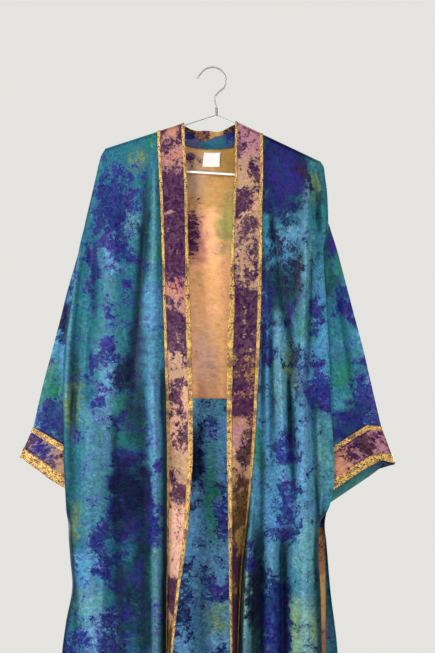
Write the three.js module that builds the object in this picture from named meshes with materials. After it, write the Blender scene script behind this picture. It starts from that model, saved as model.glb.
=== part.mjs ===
// An open-front kimono robe of dyed silk, hanging on a wire hanger.
// Units are millimetres. +Z is up, the open front faces -Y, and the wearer's left is +X.
// The origin is the inside of the hook's crown, where a rail or peg carries the hanger.
// Each piece of cloth is a thin closed wall: a mid surface worked out on a grid of points, given its thickness
// along the surface normals. Rows of a grid run down the cloth and columns run across it.
import * as THREE from "three";

// ---- Driving dimensions ----
const CLOTH = 1.2; // thickness of the silk walls
const BAND_CLOTH = 1.8; // the neckband and cuffs are folded double
const TRIM_CLOTH = 1.0; // woven gold edging
const SEAM_GAP = 0.3; // between pieces that are sewn together
const HEM_Z = -1372;
const BAND_WIDTH = 56;
const BAND_TRIM = 10; // width of the gold edging along each side of the neckband
const CUFF_TRIM_UPPER = 11;
const CUFF_TRIM_LOWER = 18;
const SHOULDER_Z = -125; // height that the top row of each table stands for

const WIRE_RADIUS = 1.5;
const HOOK_RADIUS = 26; // centreline of the hook's bend
const TWIST = { x: 6, z: -88 }; // where the hanger's arms leave the collar
const HANGER = { tipReach: 188, tipDrop: 94, tipRadius: 18, tilt: THREE.MathUtils.degToRad(3.7) };

// ---- Shape tables, from the shoulders down. x and z are real positions ----
// The right front, on the -X side: free is the neckband's loose edge, seam joins band to panel, side is the outer edge.
const FRONT_RIGHT = [
  { z: -105, free: -56, seam: -107, side: -205 },
  { z: -154, free: -54, seam: -106, side: -206 },
  { z: -168, free: -53, seam: -105, side: -213.5 },
  { z: -228, free: -50, seam: -102, side: -227 },
  { z: -308, free: -49, seam: -99, side: -246 },
  { z: -346, free: -48, seam: -98, side: -254 },
  { z: -456, free: -44, seam: -95, side: -269 },
  { z: -555, free: -41, seam: -92, side: -282 },
  { z: -640, free: -39, seam: -90, side: -284 },
  { z: -726, free: -39, seam: -88, side: -282 },
  { z: -800, free: -43, seam: -88, side: -279 },
  { z: -866, free: -48, seam: -88, side: -275 },
  { z: -931, free: -56, seam: -88, side: -270 },
  { z: -977, free: -63, seam: -89, side: -266 },
  { z: -1049, free: -71, seam: -89, side: -278 },
  { z: -1112, free: -77, seam: -89, side: -286 },
  { z: -1240, free: -80, seam: -91, side: -293 },
  { z: -1372, free: -81, seam: -92, side: -297 },
];
const FRONT_LEFT = [
  { z: -105, free: 42, seam: 94, side: 203 },
  { z: -178, free: 41, seam: 94, side: 204 },
  { z: -188, free: 41, seam: 94, side: 209 },
  { z: -206, free: 41, seam: 94, side: 211.5 },
  { z: -241, free: 39, seam: 93, side: 216 },
  { z: -292, free: 37, seam: 92, side: 218 },
  { z: -314, free: 36, seam: 92, side: 215 },
  { z: -346, free: 34, seam: 92, side: 208 },
  { z: -452, free: 30, seam: 90, side: 213 },
  { z: -540, free: 27, seam: 87, side: 218 },
  { z: -629, free: 26, seam: 83, side: 221 },
  { z: -726, free: 26, seam: 77, side: 226 },
  { z: -783, free: 27, seam: 72, side: 227 },
  { z: -830, free: 28, seam: 67, side: 218 },
  { z: -866, free: 28, seam: 63, side: 201 },
  { z: -914, free: 29, seam: 57, side: 198 },
  { z: -992, free: 30, seam: 51, side: 202 },
  { z: -1112, free: 32, seam: 46, side: 205 },
  { z: -1240, free: 34, seam: 45, side: 212 },
  { z: -1372, free: 34, seam: 44, side: 218 },
];
// The two side edges of the back.
const BACK = [
  { z: -105, right: -205, left: 203 },
  { z: -154, right: -206, left: 203.5 },
  { z: -168, right: -213.5, left: 204 },
  { z: -188, right: -219, left: 209 },
  { z: -206, right: -223, left: 211.5 },
  { z: -241, right: -231, left: 216 },
  { z: -292, right: -243, left: 218 },
  { z: -346, right: -254, left: 209 },
  { z: -456, right: -268, left: 214 },
  { z: -629, right: -279, left: 223 },
  { z: -726, right: -277, left: 227 },
  { z: -838, right: -271, left: 218 },
  { z: -866, right: -268, left: 211 },
  { z: -900, right: -264, left: 215 },
  { z: -992, right: -260, left: 223 },
  { z: -1112, right: -276, left: 237 },
  { z: -1372, right: -288, left: 250 },
];
// How far each panel hangs from the hanger's plane: at the neckband's seam, across its breadth, and at its side edge,
// which turns in to meet the other panel above the sleeve and again at the top of the side slit.
const FRONT_DEPTHS = [
  { z: -105, seam: 2.8, hung: 2.8, side: 0.8 },
  { z: -200, seam: 4.5, hung: 4.5, side: 0.8 },
  { z: -292, seam: 6.5, hung: 7.5, side: 0.8 },
  { z: -314, seam: 7, hung: 9, side: 6.5 },
  { z: -346, seam: 8, hung: 12, side: 11.5 },
  { z: -456, seam: 9, hung: 16, side: 15.5 },
  { z: -629, seam: 10, hung: 20, side: 19 },
  { z: -726, seam: 10, hung: 22, side: 21 },
  { z: -838, seam: 10, hung: 21.5, side: 20.5 },
  { z: -866, seam: 9, hung: 21, side: 0.5 },
  { z: -890, seam: 9, hung: 20.5, side: 12 },
  { z: -992, seam: 8, hung: 18, side: 15 },
  { z: -1372, seam: 8, hung: 15, side: 13 },
];
const BACK_DEPTHS = [
  { z: -105, hung: 3, side: 0.8 },
  { z: -160, hung: 7, side: 0.8 },
  { z: -222, hung: 11, side: 0.8 },
  { z: -292, hung: 13, side: 0.8 },
  { z: -314, hung: 13.5, side: 6.5 },
  { z: -346, hung: 14.5, side: 11.5 },
  { z: -456, hung: 17, side: 15.5 },
  { z: -629, hung: 20, side: 19 },
  { z: -726, hung: 22, side: 21 },
  { z: -838, hung: 21.5, side: 20.5 },
  { z: -866, hung: 21, side: 0.5 },
  { z: -890, hung: 20.5, side: 12 },
  { z: -992, hung: 19, side: 15 },
  { z: -1372, hung: 18, side: 16 },
];
// Folds: soft ridges (height above 0) and troughs (below 0) that run down the cloth from top to low.
// x is where the fold's line lies at its top, middle and low end; width is half of its breadth.
const FOLDS_RIGHT = [
  { top: -150, low: -640, xTop: -121, xMid: -140, xLow: -162, widthTop: 8, widthLow: 14, height: -4 },
  { top: -170, low: -700, xTop: -109, xMid: -113, xLow: -116, widthTop: 8, widthLow: 13, height: 8 },
  { top: -560, low: -1372, xTop: -114, xMid: -106, xLow: -108, widthTop: 13, widthLow: 13, height: 26 },
  { top: -260, low: -720, xTop: -192, xMid: -196, xLow: -205, widthTop: 20, widthLow: 26, height: 12 },
  { top: -600, low: -1372, xTop: -232, xMid: -226, xLow: -232, widthTop: 30, widthLow: 44, height: 26 },
  { top: -300, low: -860, xTop: -249, xMid: -276, xLow: -275, widthTop: 6, widthLow: 8, height: 9 },
];
const FOLDS_LEFT = [
  { top: -420, low: -1372, xTop: 87, xMid: 62, xLow: 58, widthTop: 7, widthLow: 12, height: 30 },
  { top: -440, low: -860, xTop: 121, xMid: 128, xLow: 136, widthTop: 11, widthLow: 13, height: 15 },
  { top: -860, low: -1372, xTop: 109, xMid: 109, xLow: 108, widthTop: 11, widthLow: 13, height: 22 },
  { top: -180, low: -700, xTop: 180, xMid: 170, xLow: 166, widthTop: 10, widthLow: 12, height: 9 },
  { top: -600, low: -1372, xTop: 166, xMid: 172, xLow: 178, widthTop: 13, widthLow: 30, height: 24 },
  { top: -150, low: -420, xTop: 196, xMid: 200, xLow: 203, widthTop: 6, widthLow: 6, height: -3 },
];
const FOLDS_BACK = [
  { top: -260, low: -1372, xTop: -190, xMid: -205, xLow: -225, widthTop: 22, widthLow: 28, height: 14 },
  { top: -360, low: -1372, xTop: -120, xMid: -130, xLow: -140, widthTop: 16, widthLow: 24, height: 12 },
  { top: -560, low: -1372, xTop: -34, xMid: -30, xLow: -40, widthTop: 14, widthLow: 22, height: 11 },
  { top: -330, low: -1372, xTop: 70, xMid: 66, xLow: 60, widthTop: 16, widthLow: 24, height: 13 },
  { top: -260, low: -1372, xTop: 160, xMid: 158, xLow: 165, widthTop: 18, widthLow: 28, height: 14 },
];
// The sleeves, ring by ring: the outer edge of the flattened tube, how far it reaches in towards the body, the slope
// that it drops at, half of its depth, and how much lower (above 0) its front wall hangs than its back wall.
const SLEEVE_RIGHT = [
  { x: -248, z: -314, reach: 44, slope: 12, depth: 7.4, tilt: 0 },
  { x: -255, z: -346, reach: 78, slope: 15, depth: 8.5, tilt: 0 },
  { x: -277, z: -423, reach: 112, slope: 17, depth: 11.5, tilt: 0 },
  { x: -292, z: -483, reach: 130, slope: 19, depth: 12.8, tilt: 0 },
  { x: -311, z: -555, reach: 148, slope: 22, depth: 14, tilt: 0 },
  { x: -325, z: -608, reach: 158, slope: 25, depth: 14.5, tilt: 0 },
  { x: -342, z: -683, reach: 168, slope: 28, depth: 15, tilt: 0.1 },
];
const CUFF_RIGHT = [
  { x: -342, z: -683, reach: 168, slope: 28, depth: 15, tilt: 0.1 },
  { x: -355, z: -712, reach: 172, slope: 29, depth: 15.5, tilt: 0.35 },
  { x: -367, z: -739, reach: 176, slope: 30, depth: 16, tilt: 0.6 },
];
const SLEEVE_LEFT = [
  { x: 225, z: -316, reach: 40, slope: 12, depth: 4.6, tilt: 0 },
  { x: 235, z: -348, reach: 72, slope: 15, depth: 8.5, tilt: 0 },
  { x: 249, z: -401, reach: 96, slope: 18, depth: 11.5, tilt: 0 },
  { x: 265, z: -462, reach: 118, slope: 22, depth: 12.8, tilt: 0 },
  { x: 284, z: -534, reach: 136, slope: 26, depth: 14, tilt: 0 },
  { x: 306, z: -629, reach: 156, slope: 31, depth: 15.5, tilt: -0.2 },
  { x: 318, z: -680, reach: 166, slope: 33, depth: 16, tilt: -0.3 },
];
const CUFF_LEFT = [
  { x: 318, z: -680, reach: 166, slope: 33, depth: 16, tilt: -0.3 },
  { x: 331, z: -716, reach: 170, slope: 33.5, depth: 16.5, tilt: -0.55 },
  { x: 344, z: -752, reach: 174, slope: 34, depth: 17, tilt: -0.8 },
];
const SLEEVE_LIP = { right: 4, left: 28 }; // the first stretch of each ring from its outer edge runs level

// ---- Small helpers ----
const clamp01 = (t) => Math.min(1, Math.max(0, t));
const smooth = (t) => clamp01(t) ** 2 * (3 - 2 * clamp01(t));
const lerp = (a, b, t) => a + (b - a) * t;

// A smooth curve through one column of a table, as a function of z (tables run downwards).
function column(rows, key) {
  const slope = (k) => (rows[k + 1][key] - rows[k][key]) / (rows[k + 1].z - rows[k].z);
  const tangent = (k) => {
    if (k === 0) return slope(0);
    if (k === rows.length - 1) return slope(k - 1);
    const [a, b] = [slope(k - 1), slope(k)];
    return a * b <= 0 ? 0 : (2 * a * b) / (a + b);
  };
  return (z) => {
    if (z >= rows[0].z) return rows[0][key];
    let k = 0;
    while (k < rows.length - 2 && z < rows[k + 1].z) k += 1;
    const span = rows[k + 1].z - rows[k].z;
    const t = Math.min(1, (z - rows[k].z) / span);
    const [t2, t3] = [t * t, t * t * t];
    return (
      (2 * t3 - 3 * t2 + 1) * rows[k][key] +
      (t3 - 2 * t2 + t) * span * tangent(k) +
      (3 * t2 - 2 * t3) * rows[k + 1][key] +
      (t3 - t2) * span * tangent(k + 1)
    );
  };
}

const FADE = 110; // a fold fades out over this height above its low end, and grows in over twice that at its top
// Height of all of a table's folds at a point of the cloth.
function foldHeight(folds, x, z) {
  return folds.reduce((sum, f) => {
    const t = clamp01((z - f.top) / (f.low - f.top));
    const line = (1 - t) * (1 - 2 * t) * f.xTop + 4 * t * (1 - t) * f.xMid + t * (2 * t - 1) * f.xLow;
    const reach = (x - line) / lerp(f.widthTop, f.widthLow, t);
    const low = f.low <= HEM_Z ? 1 : smooth((z - f.low) / FADE);
    return sum + f.height * smooth((f.top - z) / FADE / 2) * low * Math.exp(-reach * reach);
  }, 0);
}

// Points spaced by their share of the length along a fine polyline.
function spaced(line, shares) {
  const run = [0];
  for (let k = 1; k < line.length; k += 1) run.push(run[k - 1] + line[k].distanceTo(line[k - 1]));
  let k = 1;
  return shares.map((share) => {
    const at = share * run[run.length - 1];
    while (k < line.length - 1 && run[k] < at) k += 1;
    const step = run[k] - run[k - 1] || 1;
    return line[k - 1].clone().lerp(line[k], clamp01((at - run[k - 1]) / step));
  });
}

const shares = (n) => Array.from({ length: n + 1 }, (_, k) => k / n);

// Unit normals of a grid of points, from its neighbours; wrap joins the last column to the first.
function normalsOf(grid, wrap = false) {
  const wide = grid[0].length;
  return grid.map((row, i) =>
    row.map((_, j) => {
      const before = wrap ? (j + wide - 1) % wide : Math.max(0, j - 1);
      const after = wrap ? (j + 1) % wide : Math.min(wide - 1, j + 1);
      const across = row[after].clone().sub(row[before]);
      const down = grid[Math.min(grid.length - 1, i + 1)][j].clone().sub(grid[Math.max(0, i - 1)][j]);
      return across.cross(down).normalize();
    }),
  );
}

// A closed wall of cloth on a grid: both faces, and the rims that join them.
function wall(grid, normals, thickness, { wrap = false, raise = 0 } = {}) {
  const [tall, wide] = [grid.length, grid[0].length];
  const positions = [];
  for (const side of [0.5, -0.5])
    grid.forEach((row, i) =>
      row.forEach((p, j) =>
        positions.push(...p.clone().addScaledVector(normals[i][j], raise + side * thickness).toArray()),
      ),
    );
  const index = [];
  const at = (face, i, j) => face * tall * wide + i * wide + (j % wide);
  const quad = (a, b, c, d) => index.push(a, b, c, a, c, d);
  const lastColumn = wrap ? wide : wide - 1;
  for (let i = 0; i < tall - 1; i += 1)
    for (let j = 0; j < lastColumn; j += 1) {
      quad(at(0, i, j), at(0, i + 1, j), at(0, i + 1, j + 1), at(0, i, j + 1));
      quad(at(1, i, j), at(1, i, j + 1), at(1, i + 1, j + 1), at(1, i + 1, j));
    }
  for (let j = 0; j < lastColumn; j += 1) {
    quad(at(0, 0, j), at(0, 0, j + 1), at(1, 0, j + 1), at(1, 0, j));
    quad(at(0, tall - 1, j + 1), at(0, tall - 1, j), at(1, tall - 1, j), at(1, tall - 1, j + 1));
  }
  for (let i = 0; !wrap && i < tall - 1; i += 1) {
    quad(at(0, i + 1, 0), at(0, i, 0), at(1, i, 0), at(1, i + 1, 0));
    quad(at(0, i, wide - 1), at(0, i + 1, wide - 1), at(1, i + 1, wide - 1), at(1, i, wide - 1));
  }
  return facingOut(positions, index);
}

// The geometry, with every face turned round if it encloses a negative volume.
function facingOut(positions, index) {
  const corner = (k) => new THREE.Vector3().fromArray(positions, 3 * index[k]);
  let volume = 0;
  for (let k = 0; k < index.length; k += 3)
    volume += corner(k).dot(corner(k + 1).cross(corner(k + 2)));
  if (volume < 0) index.reverse();
  const geometry = new THREE.BufferGeometry();
  geometry.setAttribute("position", new THREE.Float32BufferAttribute(positions, 3));
  geometry.setIndex(index);
  geometry.computeVertexNormals();
  return geometry;
}

// Some columns of a grid, with each outer column that meets a seam drawn in by half of the gap.
function strip(grid, from, to, seamFrom, seamTo) {
  const half = SEAM_GAP / 2;
  const drawIn = (p, towards) => p.clone().addScaledVector(towards.clone().sub(p).normalize(), half);
  return grid.map((row) => {
    const cut = row.slice(from, to + 1).map((p) => p.clone());
    if (seamFrom) cut[0] = drawIn(row[from], row[from + 1]);
    if (seamTo) cut[cut.length - 1] = drawIn(row[to], row[to - 1]);
    return cut;
  });
}
const slice = (normals, from, to) => normals.map((row) => row.slice(from, to + 1));

// ---- The hanger's own lines ----
const tipCentre = (side) => {
  const [x, z] = [side * HANGER.tipReach, -HANGER.tipDrop];
  const [c, s] = [Math.cos(HANGER.tilt), Math.sin(HANGER.tilt)];
  return { x: TWIST.x + x * c + z * s, z: TWIST.z - x * s + z * c };
};
// Slope angle of each arm below the horizontal: the tangent from the twist to the tip's circle.
const armAngle = (side) => {
  const centre = tipCentre(side);
  const [dx, dz] = [Math.abs(centre.x - TWIST.x), TWIST.z - centre.z];
  return Math.atan2(dz, dx) - Math.asin(HANGER.tipRadius / Math.hypot(dx, dz));
};
const armZ = (x) => {
  const side = x < TWIST.x ? -1 : 1;
  return TWIST.z - Math.abs(x - TWIST.x) * Math.tan(armAngle(side));
};
const OVER_WIRE = WIRE_RADIUS + SEAM_GAP + 0.2 + BAND_CLOTH / 2; // mid surface of cloth that rides on the wire
const ridgeZ = (x) => armZ(x) + OVER_WIRE / Math.cos(armAngle(x < TWIST.x ? -1 : 1));

// Height of a point of the cloth: rows follow the sloping shoulder at the top and are level lower down.
const LEVEL_BY = 260;
const rowZ = (z, top) => z + (top - SHOULDER_Z) * (1 - smooth((SHOULDER_Z - z) / LEVEL_BY));

// ---- The fronts and their neckbands ----
const ROWS_DOWN = [
  -140, -160, -200, -240, -279, -303, -346, -420, -500, -565, -629, -700, -770, -838, -866, -890, -980, -1050, -1112,
  -1240, -1372,
];
const WRAP_TURNS = [-90, -45, 0, 45, 90]; // degrees round the hanger's wire, from behind to in front
const BAND_SHARES = [0, BAND_TRIM / BAND_WIDTH, 0.5, 1 - BAND_TRIM / BAND_WIDTH, 1];
const PANEL_COLUMNS = 20;
const ROLL = 13; // breadth of the turn at a panel's side edge

// How far the side edge turns in towards the hanger's plane: 1 at the edge, 0 past the breadth of the turn.
const turnIn = (distance) => (distance >= ROLL ? 0 : 1 - Math.sqrt(1 - (1 - distance / ROLL) ** 2));

const columns = (table, keys) => Object.fromEntries(keys.map((key) => [key, column(table, key)]));
const frontHang = columns(FRONT_DEPTHS, ["seam", "hung", "side"]);
// Where an edge crosses the row of nominal height z: x depends on the real height there, which depends on x.
function edgeAt(edge, z, topOf) {
  let x = edge(z);
  for (let pass = 0; pass < 4; pass += 1) x = edge(rowZ(z, topOf(x)));
  return x;
}

// Distance of the panel in front of the hanger's plane.
function frontDepth(shape, folds, x, z) {
  const [seam, side] = [shape.seam(z), shape.side(z)];
  const share = clamp01((x - seam) / (side - seam));
  const base = lerp(frontHang.seam(z), frontHang.hung(z), smooth(share / 0.5));
  const ramp = smooth(Math.abs(x - seam) / 10) * smooth((SHOULDER_Z - z) / 60);
  const field = base + ramp * foldHeight(folds, x, z);
  return lerp(field, frontHang.side(z), turnIn(Math.abs(side - x)));
}

// Distance of the neckband in front of the hanger's plane: its free edge stands forward where the band looks narrow.
function bandDepth(shape, x, z) {
  const [free, seam] = [shape.free(z), shape.seam(z)];
  const narrow = Math.sqrt(Math.max(0, BAND_WIDTH ** 2 - (seam - free) ** 2));
  const lead = 0.88 * narrow * smooth((-300 - z) / 420) + 2 * smooth((SHOULDER_Z - z) / 80);
  return frontHang.seam(z) + lead * smooth((seam - x) / (seam - free));
}

function frontGrid(table, folds) {
  const shape = columns(table, ["free", "seam", "side"]);
  const fine = shares(160);
  // One row across band and panel at nominal height z; place gives each x its point.
  const across = (z, place) => {
    const [free, seam, side] = ["free", "seam", "side"].map((key) => edgeAt(shape[key], z, ridgeZ));
    const band = fine.map((t) => place(lerp(free, seam, t), true));
    const panel = fine.map((t) => place(lerp(seam, side, t), false));
    return [...spaced(band, BAND_SHARES), ...spaced(panel, shares(PANEL_COLUMNS)).slice(1)];
  };
  const wrap = WRAP_TURNS.map((degrees) => {
    const turn = THREE.MathUtils.degToRad(degrees);
    const drop = (x) => (OVER_WIRE / Math.cos(armAngle(x < TWIST.x ? -1 : 1))) * (1 - Math.cos(turn));
    return across(SHOULDER_Z, (x) => new THREE.Vector3(x, -OVER_WIRE * Math.sin(turn), ridgeZ(x) - drop(x)));
  });
  const down = ROWS_DOWN.map((nominal) =>
    across(nominal, (x, inBand) => {
      const z = rowZ(nominal, ridgeZ(x));
      const depth = inBand ? bandDepth(shape, x, z) : frontDepth(shape, folds, x, z);
      const start = smooth((SHOULDER_Z - nominal) / 30); // the cloth leaves the wire's own breadth
      return new THREE.Vector3(x, -lerp(OVER_WIRE, depth, start), z);
    }),
  );
  return [...wrap, ...down];
}

// ---- The back ----
const BACK_COLUMNS = 28;
const NECK_GAP = 0.7; // straight down, which leaves 0.3 between the sloping edges
const SHOULDER_SEAM = 0.4; // the back's top edge lies this far below the middle of the wire
const NECK = { right: -107, left: 94, scoop: 25, setBack: 16, topRight: -56, topLeft: 42, topSag: 13, topBack: 12 };
const SWEEP = (share) => Math.sin(Math.PI * clamp01(share)) ** 0.8;
const neckShare = (x) => clamp01((x - NECK.right) / (NECK.left - NECK.right));
const neckSeam = (x) => {
  const share = neckShare(x);
  const level = lerp(armZ(NECK.right), armZ(NECK.left), share) - SHOULDER_SEAM;
  const sweep = SWEEP(share);
  return { y: OVER_WIRE + NECK.setBack * sweep, z: level - NECK.scoop * sweep };
};
const inNeck = (x) => x > NECK.right && x < NECK.left;
const backTop = (x) => (inNeck(x) ? neckSeam(x).z - NECK_GAP : armZ(x) - SHOULDER_SEAM);

const backShape = columns(BACK, ["right", "left"]);
const backHang = columns(BACK_DEPTHS, ["hung", "side"]);
// A point of the back on the row of nominal height.
function backPoint(x, nominal) {
  const z = rowZ(nominal, backTop(x));
  const edge = Math.min(x - backShape.right(z), backShape.left(z) - x);
  const field = backHang.hung(z) + smooth((SHOULDER_Z - z) / 60) * foldHeight(FOLDS_BACK, x, z);
  const hung = lerp(field, backHang.side(z), turnIn(Math.max(0, edge)));
  const top = inNeck(x) ? neckSeam(x).y : OVER_WIRE;
  return new THREE.Vector3(x, lerp(top, hung, smooth((SHOULDER_Z - nominal) / 45)), z);
}
const BACK_ROWS = [SHOULDER_Z, ...ROWS_DOWN];
const backGrid = BACK_ROWS.map((z) => {
  const [right, left] = [backShape.right, backShape.left].map((edge) => edgeAt(edge, z, backTop));
  const line = shares(400).map((t) => backPoint(lerp(right, left, t), z));
  return spaced(line, shares(BACK_COLUMNS));
});

// ---- The back of the neckband, from the right shoulder round behind the neck to the left one ----
const neckLine = (up) => (share) => {
  const [xRight, xLeft] = [lerp(NECK.right, NECK.topRight, up), lerp(NECK.left, NECK.topLeft, up)];
  const sweep = SWEEP(share);
  const slouch = 9 * Math.sin(Math.PI * up) * sweep; // the band bows out behind
  return new THREE.Vector3(
    lerp(xRight, xLeft, share),
    OVER_WIRE + lerp(NECK.setBack, NECK.topBack, up) * sweep + slouch,
    lerp(armZ(xRight), armZ(xLeft), share) - SHOULDER_SEAM - lerp(NECK.scoop, NECK.topSag, up) * sweep,
  );
};
const UP_SHARES = [0, BAND_TRIM / BAND_WIDTH, 0.5, 1 - BAND_TRIM / BAND_WIDTH, 1];
const neckGrid = (ups, from, to, count) =>
  ups.map((up) => spaced(shares(80).map((t) => neckLine(up)(lerp(from, to, t))), shares(count)));
const collarGrid = neckGrid(UP_SHARES, 0, 1, 18);
const collarNormals = normalsOf(collarGrid);

// ---- Panels that lie on the inside of the back, made from its own points ----
const LINING = { top: 0, low: BACK_ROWS.indexOf(-629), right: 8, left: 20 }; // rows and columns of the back
const SLIT_FACING = { top: BACK_ROWS.indexOf(-890), low: BACK_ROWS.length - 1, columns: [1, 3] };
const LABEL = { right: 0.399, left: 0.558, top: 0.5, low: 2.05 }; // shares of the lining's breadth, and its rows
const INSIDE = CLOTH + SEAM_GAP; // from the middle of the back to the middle of what lies on it

// ---- Sleeves and cuffs ----
const RING_POINTS = 22;
const SLEEVE_FOLD = 5; // depth of the long trough down each sleeve's front wall
function ring(row, side, lip) {
  return Array.from({ length: RING_POINTS }, (_, k) => {
    const turn = (2 * Math.PI * (k + 0.5)) / RING_POINTS;
    const [c, s] = [Math.cos(turn), Math.sin(turn)];
    const inwards = (row.reach / 2) * (1 + Math.sign(c) * Math.abs(c) ** 0.75); // from the outer edge
    const share = inwards / row.reach;
    const trough = s < 0 ? SLEEVE_FOLD * Math.exp(-(((share - 0.2) / 0.09) ** 2)) * Math.min(1, row.depth / 14) : 0;
    const y = row.depth * Math.sign(s) * Math.abs(s) ** 0.5 + trough;
    const drop = Math.tan(THREE.MathUtils.degToRad(row.slope)) * Math.max(0, inwards - lip);
    return new THREE.Vector3(row.x - side * inwards, y, row.z - drop + row.tilt * y);
  });
}
const sleeveRings = (table, side, lip) => table.map((row) => ring(row, side, lip));
// Rings of one cuff piece between two shares of the cuff's height.
function cuffRings(table, side, lip, from, to, count) {
  const keys = ["x", "z", "reach", "slope", "depth", "tilt"];
  const at = (share) => {
    const place = share * (table.length - 1);
    const k = Math.min(table.length - 2, Math.floor(place));
    return Object.fromEntries(keys.map((key) => [key, lerp(table[k][key], table[k + 1][key], place - k)]));
  };
  return shares(count).map((t) => ring(at(lerp(from, to, t)), side, lip));
}

// ---- Materials and the group ----
const finish = (color, roughness, metalness = 0) => new THREE.MeshStandardMaterial({ color, roughness, metalness });
const silk = finish(0x2f7f8c, 0.45);
const bandSilk = finish(0xa5744f, 0.5);
const edging = finish(0xd9a441, 0.42);
const liningSilk = finish(0xc98a52, 0.55);
const innerSilk = finish(0x3f5f95, 0.5);
const labelCloth = finish(0xf2efe6, 0.8);
const steel = finish(0xb8bbbd, 0.28, 1);

const kimono = new THREE.Group();
function add(name, geometry, material) {
  const mesh = new THREE.Mesh(geometry, material);
  mesh.name = name;
  kimono.add(mesh);
  return mesh;
}

const BAND_LAST = BAND_SHARES.length - 1;
for (const [name, table, folds] of [
  ["right", FRONT_RIGHT, FOLDS_RIGHT],
  ["left", FRONT_LEFT, FOLDS_LEFT],
]) {
  const grid = frontGrid(table, folds);
  const normals = normalsOf(grid);
  normals[0].forEach((n) => n.set(0, n.y < 0 ? -1 : 1, 0));
  const last = grid[0].length - 1;
  add(`front_${name}`, wall(strip(grid, BAND_LAST, last, true, false), slice(normals, BAND_LAST, last), CLOTH), silk);
  const band = strip(grid, 0, BAND_LAST, false, true);
  const bandNormals = slice(normals, 0, BAND_LAST);
  add(`neckband_${name}`, wall(band, bandNormals, BAND_CLOTH), bandSilk);
  // The gold edging lies on the band's outer face.
  const out = bandNormals[10][2].y < 0 ? 1 : -1;
  const raise = out * (BAND_CLOTH / 2 + SEAM_GAP + TRIM_CLOTH / 2);
  for (const [edge, from, to] of [
    ["free", 0, 1],
    ["seam", BAND_LAST - 1, BAND_LAST],
  ]) {
    const trim = strip(band, from, to, false, false);
    add(`band_edging_${edge}_${name}`, wall(trim, slice(bandNormals, from, to), TRIM_CLOTH, { raise }), edging);
  }
}

const backNormals = normalsOf(backGrid);
const inwards = backNormals[5][5].y > 0 ? -1 : 1;
const part = (grid, { top, low }, [from, to]) => grid.slice(top, low + 1).map((row) => row.slice(from, to + 1));
add("back", wall(backGrid, backNormals, CLOTH), silk);
add("neckband_back", wall(collarGrid, collarNormals, CLOTH), bandSilk);
const collarOut = collarNormals[2][9].y > 0 ? 1 : -1;
const COLLAR_LAST = collarGrid[0].length - 1;
for (const [edge, top, low] of [
  ["seam", 0, 1],
  ["top", 3, 4],
]) {
  const [rows, across] = [{ top, low }, [1, COLLAR_LAST - 1]];
  const raise = collarOut * (CLOTH / 2 + SEAM_GAP + TRIM_CLOTH / 2);
  const edgingGrid = part(collarGrid, rows, across);
  add(`collar_edging_${edge}`, wall(edgingGrid, part(collarNormals, rows, across), TRIM_CLOTH, { raise }), edging);
}
const facingRows = { top: 0, low: 3 };
add(
  "neckband_back_facing",
  wall(part(collarGrid, facingRows, [2, COLLAR_LAST - 2]), part(collarNormals, facingRows, [2, COLLAR_LAST - 2]), CLOTH, {
    raise: -collarOut * (CLOTH + SEAM_GAP),
  }),
  innerSilk,
);

const liningColumns = [LINING.right, LINING.left];
const [liningGrid, liningNormals] = [backGrid, backNormals].map((grid) => part(grid, LINING, liningColumns));
add("back_yoke_lining", wall(liningGrid, liningNormals, CLOTH, { raise: inwards * INSIDE }), liningSilk);
// The label's points lie between the lining's own.
const onLining = (grid, row, share) => {
  const [across, i] = [share * (LINING.left - LINING.right), Math.floor(row)];
  const j = Math.floor(across);
  const [upper, lower] = [grid[i], grid[i + 1]].map((line) => line[j].clone().lerp(line[j + 1], across - j));
  return upper.lerp(lower, row - i);
};
const onLabel = (grid) =>
  shares(2).map((down) =>
    shares(3).map((t) => onLining(grid, lerp(LABEL.top, LABEL.low, down), lerp(LABEL.right, LABEL.left, t))),
  );
const labelRaise = inwards * (2 * INSIDE + 0.8);
add("neck_label", wall(onLabel(liningGrid), onLabel(liningNormals), TRIM_CLOTH, { raise: labelRaise }), labelCloth);
for (const [name, side] of [
  ["right", -1],
  ["left", 1],
]) {
  const across = SLIT_FACING.columns.map((k) => (side < 0 ? k : BACK_COLUMNS - k)).sort((a, b) => a - b);
  const [grid, normals] = [backGrid, backNormals].map((points) => part(points, SLIT_FACING, across));
  add(`slit_facing_${name}`, wall(grid, normals, CLOTH, { raise: inwards * INSIDE }), liningSilk);
}

for (const [name, side, sleeve, cuff] of [
  ["right", -1, SLEEVE_RIGHT, CUFF_RIGHT],
  ["left", 1, SLEEVE_LEFT, CUFF_LEFT],
]) {
  const lip = SLEEVE_LIP[name];
  const tube = sleeveRings(sleeve, side, lip);
  add(`sleeve_${name}`, wall(tube, normalsOf(tube, true), CLOTH, { wrap: true }), silk);
  const tall = Math.hypot(cuff[2].x - cuff[0].x, cuff[2].z - cuff[0].z);
  const cuffTube = cuffRings(cuff, side, lip, SEAM_GAP / tall, 1, 3);
  const cuffNormals = normalsOf(cuffTube, true);
  add(`cuff_${name}`, wall(cuffTube, cuffNormals, CLOTH, { wrap: true }), bandSilk);
  for (const [edge, from, to] of [
    ["seam", 0.01, CUFF_TRIM_UPPER / tall],
    ["hem", 1 - CUFF_TRIM_LOWER / tall, 1],
  ]) {
    const trim = cuffRings(cuff, side, lip, from, to, 1);
    const trimNormals = normalsOf(trim, true);
    const outwards = trimNormals[0][5].y * trim[0][5].y > 0 ? 1 : -1;
    const raise = outwards * (CLOTH / 2 + SEAM_GAP + 0.1 + TRIM_CLOTH / 2);
    add(`cuff_edging_${edge}_${name}`, wall(trim, trimNormals, TRIM_CLOTH, { wrap: true, raise }), edging);
  }
}

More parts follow.
